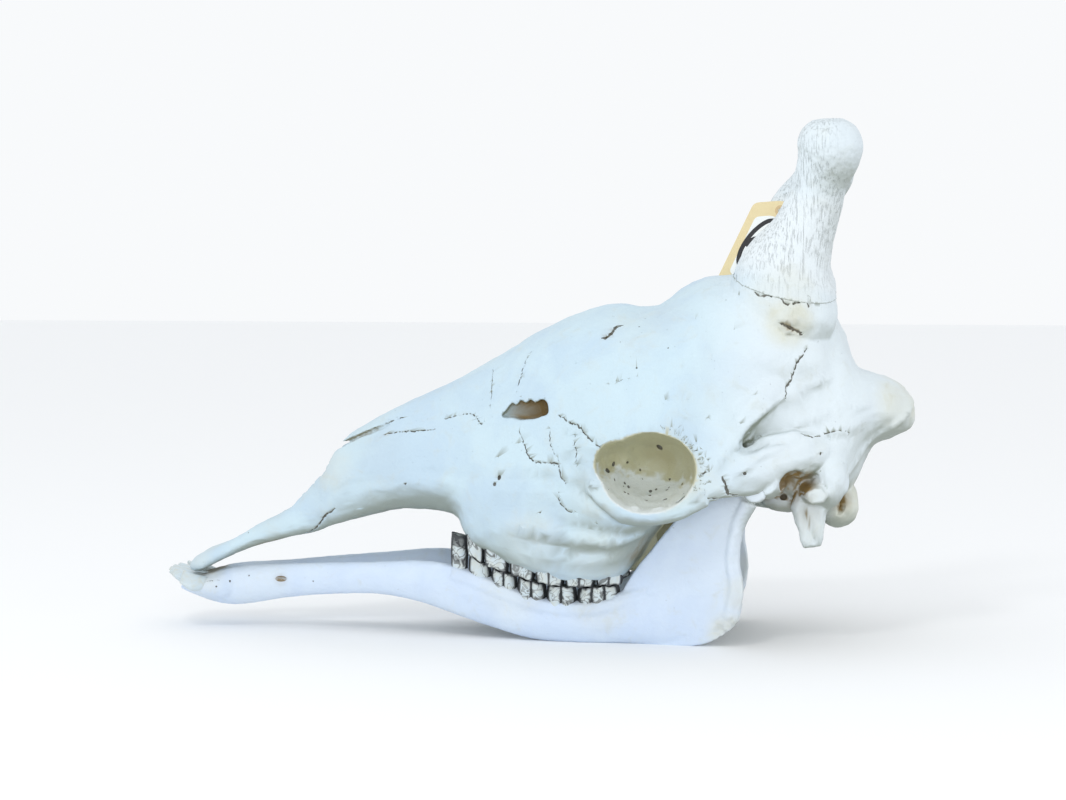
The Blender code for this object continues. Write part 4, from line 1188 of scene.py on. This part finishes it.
def jawForms():
    body = limb("jawBody", [
        (-334, -13, 39, 12, 5), (-308, -15, 38, 15, 14), (-283, -14, 39, 12, 18), (-240, -15, 44, 9, 16),
        (-200, -24, 48, 8, 15), (-150, -35, 51, 8, 15), (-109, -43, 50, 9, 19), (-76, -49, 44, 10, 22),
        (-43, -54, 34, 11.5, 22), (0, -60, 21, 12.5, 20), (40, -63, 17, 12.5, 19), (80, -66, 20, 11.5, 21),
        (120, -71, 26, 8.5, 26), (150, -76, 36, 4.5, 28), (172, -80, 42, 2.5, 24)], along=6, around=5)
    shelf = limb("toothShelf", [
        (-76, -49, 57, 10, 9), (-43, -54, 47, 12, 10), (-15, -58, 36, 12.5, 10), (10, -61, 29, 12.5, 10),
        (35, -63, 27, 12.5, 10), (60, -64.5, 29, 12.5, 10), (85, -66, 37, 10, 11), (104, -69, 44, 6, 10)])
    fan = limb("toothBed", [
        (-334, -20, 40, 13, 4), (-318, -21, 38, 15, 9), (-302, -19, 38, 15, 13), (-285, -14, 42, 10, 15)])
    ramus = slab("ramus", jaw["ramus"], 11, -46, -0.19, -0.03)
    condyle = limb("jawCondyle", [(198, -76, 139, 9, 7), (199, -90, 140, 10, 8), (200, -106, 139, 9, 7)])
    rear = limb("rearEdge", [
        (156, -77, 12, 5, 9), (177, -82, 28, 5.5, 9), (182, -84, 56, 6, 7), (179, -84, 80, 6, 7),
        (183, -86, 108, 6, 7), (194, -90, 132, 7, 8)], up=(1, 0, 0))
    return [body, shelf, fan, ramus, condyle, rear]


def buildJaws(crevice):
    voxel = jaw["voxel"]
    whole = fuse("jaw", bothSides(jawForms()), voxel, jaw["softness"])
    carve(whole, bothSides([ball("nerveHole", (-242, -28, 47), (7, 7, 3.6))]))
    thinOut(whole, jaw["faces"] * 2)
    raiseLines(whole, jaw["relief"])
    roughen(whole, *jaw["rough"])
    skin = skinOf(whole)
    paths = skinPaths(skin, jaw["seams"])
    pits = [tuple(row) for pit in jaw["pits"] for row in skinRows(skin, pit)]
    cutSeams(whole, paths, jaw, crevice)
    cutPits(whole, pits, jaw, crevice)
    carve(whole, [halfSpace("floor", z=-1)])
    halves = []
    for name, sign in (("jawBoneLeft", 1), ("jawBoneRight", -1)):
        half = linkMesh(name, whole.data.copy())
        cutter = halfSpace("midline", y=sign)
        cutter.data.transform(Matrix.Translation((0, -sign * gap / 2 * mm, 0)))
        carve(half, [cutter])
        keepLargest(half)
        halves.append(half)
    bpy.data.objects.remove(whole)
    return halves, skin


# Teeth: crowns with ribs and lobes, varied by a seeded draw

teeth = {
    # front edge x, back edge x, half spacing, half width, lobes
    "upper": [
        (-63, -47, 57, 8.5, 1), (-46, -24, 61, 10, 1), (-22, 0, 64, 11, 1),
        (1.5, 27, 66, 13, 2), (28.5, 55, 66.5, 13.5, 2), (56.5, 80, 65, 12, 2)],
    "lower": [
        (-78, -63, 50, 6, 1), (-61, -41, 54, 7.5, 1), (-39.5, -17, 58, 9, 2),
        (-15.5, 10, 61, 10, 2), (11.5, 38, 63, 10.5, 2), (39.5, 77, 64, 10, 3)],
    "bite": [
        (-80, 97), (-63, 93), (-61, 76), (-47, 69), (-28, 62), (-5, 55.5), (20, 51.5), (45, 50.5),
        (80, 53)],
    "upperGum": [(-64, 94), (-47, 87), (-28, 79), (-8, 73), (13, 68), (31, 66), (57, 66), (82, 68)],
    "lowerGum": [(-80, 66), (-64, 61), (-45, 53), (-22, 44), (1, 37), (31, 34), (57, 36), (80, 42)],
    "around": 56, "levels": 14, "sink": 10,
    # share of the height where the gum stain sits, its spread, swell of the uneven skin, strength of blotches
    "gumLine": {"upper": 0.5, "lower": 0.45}, "gumHeight": 0.09, "uneven": 0.25, "blotch": 0.85,
    # rings that turn in over the biting face: share of the crown's size, depth and stain
    "bowl": [(0.82, 0.5, 0.35), (0.62, 1.6, 0.75), (0.34, 0.8, 0.3)],
    "frontThick": (6, 5.5, 1.9),  # half thickness at the root, middle and tip
    # root, middle and tip of each front tooth, the half widths there and the way that it faces
    "front": [
        ((-318, 5, 42), (-339, 6, 47), (-351, 6.5, 53), (5.5, 6.5, 5), (0, 1)),
        ((-317, 13, 42), (-337, 17, 47), (-348, 19, 53), (5.5, 6.5, 5), (-0.2, 1)),
        ((-315, 20, 42), (-332, 27, 47), (-342, 30, 53), (5.5, 7, 5.5), (-0.5, 1)),
        ((-310, 24, 41), (-323, 34, 44), (-332, 39, 50), (7, 10, 8), (-0.9, 0.9))],
}


def heightAt(line, x):
    xs, zs = zip(*line)
    return np.interp(x, xs, zs)


def crown(name, row, side, root, bite, upper, draw):
    front, back, spacing, half, lobes = row
    middle, length = (front + back) / 2, (back - front) * draw.uniform(0.975, 1.0)
    turn = np.linspace(0, math.tau, teeth["around"], endpoint=False)
    along, wide = -np.cos(turn), np.sign(np.sin(turn)) * np.abs(np.sin(turn)) ** 0.5
    outer = wide > 0
    phase = (along + 1) / 2 * lobes
    rib = np.abs(np.cos(math.pi * phase)) ** 5
    swell = np.abs(np.sin(math.pi * phase)) ** 0.8
    if upper:
        midRib = np.abs(np.sin(math.pi * phase)) ** 12
        shape = np.where(outer, 0.80 + 0.16 * rib + 0.06 * midRib, 0.62 + 0.36 * swell)
    else:
        shape = np.where(outer, 0.66 + 0.33 * swell, 0.80 + 0.14 * rib)
    rings, stain, worn, spotted = [], [], [], []
    reach = middle + along * length / 2
    zRoot, zBite = heightAt(root, reach), heightAt(bite, reach)
    gumLine = teeth["gumLine"]["upper" if upper else "lower"]
    spread = np.where(outer, 1.0, 1.09)
    blotch = [draw.uniform(0.0, 0.45) for _ in range(lobes * 2 + 1)]
    blotch = np.interp(along, np.linspace(-1, 1, len(blotch)), blotch)
    cusp = np.where(outer, 0.5 - np.abs((phase % 1) - 0.5), 0)
    cusp = cusp * (3.6 if upper else 2.6) * draw.uniform(0.7, 1.3)
    for level in np.linspace(0, 1, teeth["levels"]):
        swellUp = 0.90 + 0.10 * math.sin(math.pi * min(1, level * 0.9)) - 0.05 * level**6
        x = middle + along * spread * length / 2 * swellUp * (0.96 + 0.04 * level)
        shaped = min(1, level * 1.6)  # a plain root takes the crown's shape as it rises
        y = side * (spacing + half * wide * (shape * (0.5 + 0.5 * shaped) + 0.5 * (1 - shaped)))
        z = zRoot + (zBite - zRoot) * level + np.sign(zRoot - zBite) * cusp * level**3
        rings.append(np.column_stack([x, y, z]))
        # painted shade at the crown's ends, between it and its neighbours, and in the grooves between its
        # lobes; stains at the gum line and the biting edge
        ends = np.abs(along) ** 15
        grooves = (1 - swell) ** 3.4 * np.where(outer, 1, 0.6)
        gumward = math.exp(-(((level - gumLine) / teeth["gumHeight"]) ** 2))
        biteward = ease(0.9, 1.0, level)
        browned = ease(0.66, 0.8, level) * 0.42 if back < -62 and not upper else 0
        dirtAndShade = ends * 0.85 + grooves * (1.0 - 0.2 * level) + gumward * blotch * 0.9 + biteward * blotch * 1.2
        stain.append(np.clip(dirtAndShade + browned, 0, 1))
        worn.append(np.full(len(turn), level**4))
        spotted.append(np.full(len(turn), teeth["blotch"]))
    dip = -1 if zRoot.mean() > zBite.mean() else 1
    for share, deep, dark in teeth["bowl"]:
        ring = rings[teeth["levels"] - 1].copy()
        centre = ring.mean(axis=0)
        ring = centre + (ring - centre) * (share, share, 0.4)
        ring[:, 2] -= dip * deep
        rings.append(ring)
        stain.append(np.full(len(turn), dark))
        worn.append(np.ones(len(turn)))
        spotted.append(np.full(len(turn), 0.5))
    shape = skinOfRings(name, rings)
    roughen(shape, [], teeth["uneven"], 3.2, draw.random() * 9)
    writeField(shape, "stain", np.append(np.concatenate(stain), (0.2, 0.3)))
    writeField(shape, "worn", np.append(np.concatenate(worn), (0, 1)))
    writeField(shape, "blotch", np.append(np.concatenate(spotted), (0, 0)))
    return shape


def cheekTeeth(name, rows, gum, upper, sides):
    out = []
    rise = teeth["sink"] if upper else -teeth["sink"]
    meet = gap / 2 if upper else -gap / 2
    root = [(x, z + rise) for x, z in gum]
    bite = [(x, z + meet) for x, z in teeth["bite"]]
    for side in sides:
        for index, row in enumerate(rows):
            draw = random.Random(31 * index + side + upper)
            out.append(crown(name, row, side, root, bite, upper, draw))
    return joinWithFields(name, out)


def joinWithFields(name, pieces):  # one object that keeps each point's fields
    fields = {}
    for word in ("stain", "worn", "blotch"):
        fields[word] = np.concatenate([readField(piece.data, word) for piece in pieces])
    obj = joinInto(name, pieces)
    for word, values in fields.items():
        writeField(obj, word, values)
    return obj


def readField(mesh, name):
    values = np.zeros(len(mesh.vertices), np.float32)
    mesh.attributes[name].data.foreach_get("value", values)
    return values


def frontTeeth(name, side):
    out = []
    for index, (root, middle, tip, widths, face) in enumerate(teeth["front"]):
        draw = random.Random(50 + index + side)
        path = []
        for point, width, thick in zip((root, middle, tip), widths, teeth["frontThick"]):
            path.append((point[0], side * point[1], point[2], width * draw.uniform(0.96, 1.0), thick))
        start = 2 * np.array(path[0]) - np.array(path[1])
        start[3:] = path[0][3:]
        tooth = limb(name, [start, *path], along=10, around=6, up=(0, -side * face[0], face[1]))
        places, _ = readPoints(tooth.data)
        reach = (path[0][0] - places[:, 0]) / (path[0][0] - path[2][0])
        writeField(tooth, "stain", 0.16 * (1 - ease(0.0, 0.3, reach)) + 0.1 * ease(0.9, 1.0, reach))
        writeField(tooth, "worn", ease(0.8, 1.0, reach) * 0.5)
        writeField(tooth, "blotch", reach * 0)
        out.append(tooth)
    return joinWithFields(name, out)


# Tag: a card with cut corners, an eyelet, a round label and a plain number

tag = {
    "outline": [(0, 0), (12, 0), (52, 22), (52, 86), (29, 100), (23, 100), (0, 86)],
    "hole": (26, 90), "thick": 0.9, "foot": (160, 4, 324), "slant": 25,
    "label": [(7, 14), (14, 12), (46, 30), (46, 76), (34, 82), (20, 82), (7, 74)], "eyelet": (2.9, 5.6),
    "cardRound": 5.0, "labelRound": 4.0, "labelDepth": -0.14, "eyeletDepth": -0.05, "eyeletRise": 0.32,
    "stroke": 4.0, "inkDepth": -0.16, "inkFlat": 0.02,
    # a plain figure six, as x and z in the card's plane
    "figure": [
        (27, 80), (19, 75), (12.5, 63), (9, 49), (8.6, 35), (12, 25), (20, 21), (31, 27), (36, 40),
        (32, 52), (24, 57),
        (15, 54), (10, 44)],
}


def tagPlace():  # the card's own foot and slant, and the lean that its solid was given
    low, high = (Vector(corner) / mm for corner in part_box("specimen_tag"))
    tall = max(z for _, z in tag["outline"])
    lean = 0.4
    for _ in range(20):
        lean = math.asin((high.y - low.y - tag["thick"] * math.cos(lean)) / tall)
    foot = Matrix.Translation(Vector(tag["foot"]) * mm) @ Matrix.Rotation(math.radians(tag["slant"]), 4, "Y")
    return foot @ Matrix.Rotation(-lean, 4, "X")


def circle(middle, radius, count):
    turns = [math.tau * i / count for i in range(count)]
    return [(middle[0] + radius * math.cos(a), middle[1] + radius * math.sin(a)) for a in turns]


def plate(name, loops, front, back):  # flat sheet between two depths, from an outline and its holes
    shape = bmesh.new()
    edges = []
    for loop in loops:
        corners = [shape.verts.new(Vector((x, front, z)) * mm) for x, z in loop]
        edges += [shape.edges.new((corners[i], corners[(i + 1) % len(corners)])) for i in range(len(corners))]
    bmesh.ops.triangle_fill(shape, use_beauty=True, edges=edges)
    pushed = bmesh.ops.extrude_face_region(shape, geom=list(shape.faces))["geom"]
    moved = [vert for vert in pushed if isinstance(vert, bmesh.types.BMVert)]
    bmesh.ops.translate(shape, vec=(0, (back - front) * mm, 0), verts=moved)
    bmesh.ops.recalc_face_normals(shape, faces=shape.faces)
    return fromBmesh(name, shape)


def roundCorners(outline, cut, steps=5):  # each corner becomes a short curve
    out = []
    for i, corner in enumerate(outline):
        before, corner, after = (np.array(outline[j % len(outline)], float) for j in (i - 1, i, i + 1))
        start = corner + (before - corner) / np.linalg.norm(before - corner) * cut
        stop = corner + (after - corner) / np.linalg.norm(after - corner) * cut
        for t in np.linspace(0, 1, steps):
            out.append(tuple((1 - t) ** 2 * start + 2 * t * (1 - t) * corner + t * t * stop))
    return out


def ringAround(name, middle, inner, outer, depth, rise):  # a pressed ring with a rounded section
    rings = []
    for turn in np.linspace(0, math.tau, 48, endpoint=False):
        half, centre = (outer - inner) / 2, (outer + inner) / 2
        section = []
        for step in range(12):
            angle = math.tau * step / 12
            r = centre + half * math.cos(angle)
            x, z = middle[0] + r * math.cos(turn), middle[1] + r * math.sin(turn)
            section.append((x, depth + rise * math.sin(angle), z))
        rings.append(section)
    count, size, faces = len(rings), len(rings[0]), []
    for i in range(count):
        here, there = i * size, (i + 1) % count * size
        for j in range(size):
            k = (j + 1) % size
            faces.append((here + j, here + k, there + k, there + j))
    return meshFrom(name, [point for ring in rings for point in ring], faces)


def strokeTree():  # a round line along the drawn path, which is then pressed flat
    tree, maker = newTree("penStroke", [
        ("Paths", "NodeSocketGeometry"), ("Width", "NodeSocketFloat"), ("Finish", "NodeSocketMaterial")])
    curve = maker.add("GeometryNodeMeshToCurve", inputs={"Mesh": groupInput(maker, "Paths")})
    curve = maker.add("GeometryNodeResampleCurve", {"mode": "COUNT"}, {"Curve": curve, "Count": 90})
    pen = maker.add("GeometryNodeCurvePrimitiveCircle", {"mode": "RADIUS"}, {"Resolution": 8, "Radius": 0.5})
    tube = {"Curve": curve, "Profile Curve": pen, "Scale": groupInput(maker, "Width"), "Fill Caps": True}
    closeTree(maker, maker.add("GeometryNodeCurveToMesh", inputs=tube))
    return tree


def buildTag():
    outline = roundCorners(tag["outline"], tag["cardRound"])
    card = plate("tagCard", [outline, circle(tag["hole"], tag["eyelet"][0], 32)], 0, tag["thick"])
    label = plate("tagLabel", [roundCorners(tag["label"], tag["labelRound"])], tag["labelDepth"], 0)
    eyelet = ringAround("tagEyelet", tag["hole"], *tag["eyelet"], tag["eyeletDepth"], tag["eyeletRise"])
    keys = np.array([(x, tag["inkDepth"], z, 1) for x, z in tag["figure"]], float)
    figure = pathsObject("tagFigure", [smoothThrough(keys, 8, closed=False)])
    ink = paperMaterial("printInk")
    growWith(figure, strokeTree(), width=tag["stroke"] * mm, finish=ink)
    places, _ = readPoints(figure.data)
    places[:, 1] = tag["inkDepth"] + places[:, 1] * tag["inkFlat"]
    writePoints(figure.data, places)
    place = tagPlace()
    for piece in (card, label, eyelet, figure):
        piece.data.transform(place)
    coat(card, cardMaterial("manilaCard", cardFinish))
    coat(label, paperMaterial("whiteLabel"))
    coat(eyelet, paperMaterial("eyeletPaper"))
    coat(figure, ink)
    return [card, label, eyelet, figure]


# Putting the pieces into the frame


def coat(obj, material):
    obj.data.materials.clear()
    obj.data.materials.append(material)


def settle(obj, node, sharp=55):  # moves a drawn piece into the frame, inside the CAD box
    low, high = (np.array(corner) / mm for corner in cadBox)
    places, _ = readPoints(obj.data)
    writePoints(obj.data, np.clip(places + drawnAt, low, high))
    obj.data.shade_smooth()
    obj.data.set_sharp_from_angle(angle=math.radians(sharp))
    obj.data.calc_loop_triangles()
    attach(obj, "root")
    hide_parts(node)
    print(f"{obj.name}: {len(obj.data.loop_triangles)} triangles")


# Floor, lights and camera

studio = {
    "floor": (0.93, 0.94, 0.95), "floorCloud": (0.85, 0.87, 0.88), "floorRoughness": 0.85, "floorHalf": 6,
    "sky": (0.97, 0.985, 1.0), "skyStrength": 0.97,
    # place, aim, size in metres and watts
    "lights": [
        ("keyLight", (-0.6, -1.7, 2.2), (0, 0, 0.2), 0.5, 9),
        ("fillLight", (0.2, -2.3, 0.7), (0, 0, 0.15), 0.8, 7)],
    "aim": (0.005, 0, 0.231), "distance": 2.4, "azimuth": 6, "elevation": 4,
    "lens": 87.62, "sensor": 36, "shiftX": -0.0084, "shiftY": -0.01735,
}


def lightUp():
    for name, place, aim, size, watts in studio["lights"]:
        lamp = bpy.data.lights.new(name, "AREA")
        lamp.shape = "DISK"
        lamp.size = size
        lamp.energy = watts
        obj = bpy.data.objects.new(name, lamp)
        bpy.context.scene.collection.objects.link(obj)
        obj.location = place
        obj.rotation_euler = (Vector(aim) - Vector(place)).to_track_quat("-Z", "Y").to_euler()
    world = bpy.data.worlds.new("studioSky")
    world.use_nodes = True
    sky = world.node_tree.nodes["Background"]
    sky.inputs["Color"].default_value = (*studio["sky"], 1)
    sky.inputs["Strength"].default_value = studio["skyStrength"]
    bpy.context.scene.world = world
    bpy.context.scene.view_settings.view_transform = "Standard"


def layFloor():
    shape = bmesh.new()
    bmesh.ops.create_grid(shape, x_segments=1, y_segments=1, size=studio["floorHalf"])
    floor = fromBmesh("studioFloor", shape)
    material, maker = shaderMaker("paleFloor")
    place = maker.add("ShaderNodeTexCoord", output="Object")
    cloud = maker.noise(place, 2, 3, 0.5)
    colour = maker.mix(cloud * 0.04, studio["floor"], studio["floorCloud"])
    finishShader(maker, colour, studio["floorRoughness"], cloud * 0.01)
    coat(floor, material)


def setCamera():
    lens = bpy.data.cameras.new("viewCamera")
    lens.sensor_width = studio["sensor"]
    lens.lens = studio["lens"]
    lens.shift_x, lens.shift_y = studio["shiftX"], studio["shiftY"]
    camera = bpy.data.objects.new("viewCamera", lens)
    bpy.context.scene.collection.objects.link(camera)
    side, rise = math.radians(studio["azimuth"]), math.radians(studio["elevation"])
    back = Vector((math.sin(side) * math.cos(rise), -math.cos(side) * math.cos(rise), math.sin(rise)))
    camera.location = Vector(studio["aim"]) + back * studio["distance"]
    camera.rotation_euler = back.to_track_quat("Z", "Y").to_euler()
    bpy.context.scene.camera = camera


def main():
    skullBone = boneMaterial("skullBone", boneFinish, horns["grain"])
    # the jaws get a lighter, bluer copy of the bone colours: painted light that makes them look more brightly
    # lit
    jawBone = boneMaterial("jawBone", {**boneFinish, "pale": (0.64, 0.745, 0.88), "cool": (0.59, 0.70, 0.86)})
    enamel = enamelMaterial("toothEnamel", enamelFinish)
    leftHorn, rightHorn = buildHorn("ossiconeLeftBone", -1), buildHorn("ossiconeRightBone", 1)
    report("horns made")
    (leftJaw, rightJaw), jawSkin = buildJaws(skullBone)
    report("jaws made")
    tagPieces = buildTag()
    bone, boneSkin = buildCranium([leftHorn, rightHorn, leftJaw, rightJaw], skullBone)
    surround = skinOf(bone, leftHorn, rightHorn, leftJaw, rightJaw)
    # stains, and painted light and shade, written as fields on each bone
    writeBoneFields(bone, surround, boneSkin, stainsAndShade)
    for piece in (leftJaw, rightJaw):
        writeBoneFields(piece, surround, jawSkin, jaw)
    for piece in (leftHorn, rightHorn):
        writeBoneFields(piece, surround, None, stainsAndShade)
    report("bones stained")
    bones = [
        (bone, "cranium", skullBone),
        (leftJaw, "mandible_left", jawBone), (rightJaw, "mandible_right", jawBone),
        (leftHorn, "ossicone_left", skullBone), (rightHorn, "ossicone_right", skullBone)]
    for piece, node, material in bones:
        coat(piece, material)
        settle(piece, node)
    rows = [
        (cheekTeeth("upperTeeth", teeth["upper"], teeth["upperGum"], True, (-1, 1)), "cranium"),
        (cheekTeeth("lowerTeethLeft", teeth["lower"], teeth["lowerGum"], False, (-1,)), "mandible_left"),
        (cheekTeeth("lowerTeethRight", teeth["lower"], teeth["lowerGum"], False, (1,)), "mandible_right"),
        (frontTeeth("frontTeethLeft", -1), "mandible_left"),
        (frontTeeth("frontTeethRight", 1), "mandible_right")]
    for row, node in rows:
        coat(row, enamel)
        settle(row, node)
    for piece in tagPieces:
        settle(piece, "specimen_tag", 30)
    report("teeth and tag placed")
    layFloor()
    lightUp()
    setCamera()


main()
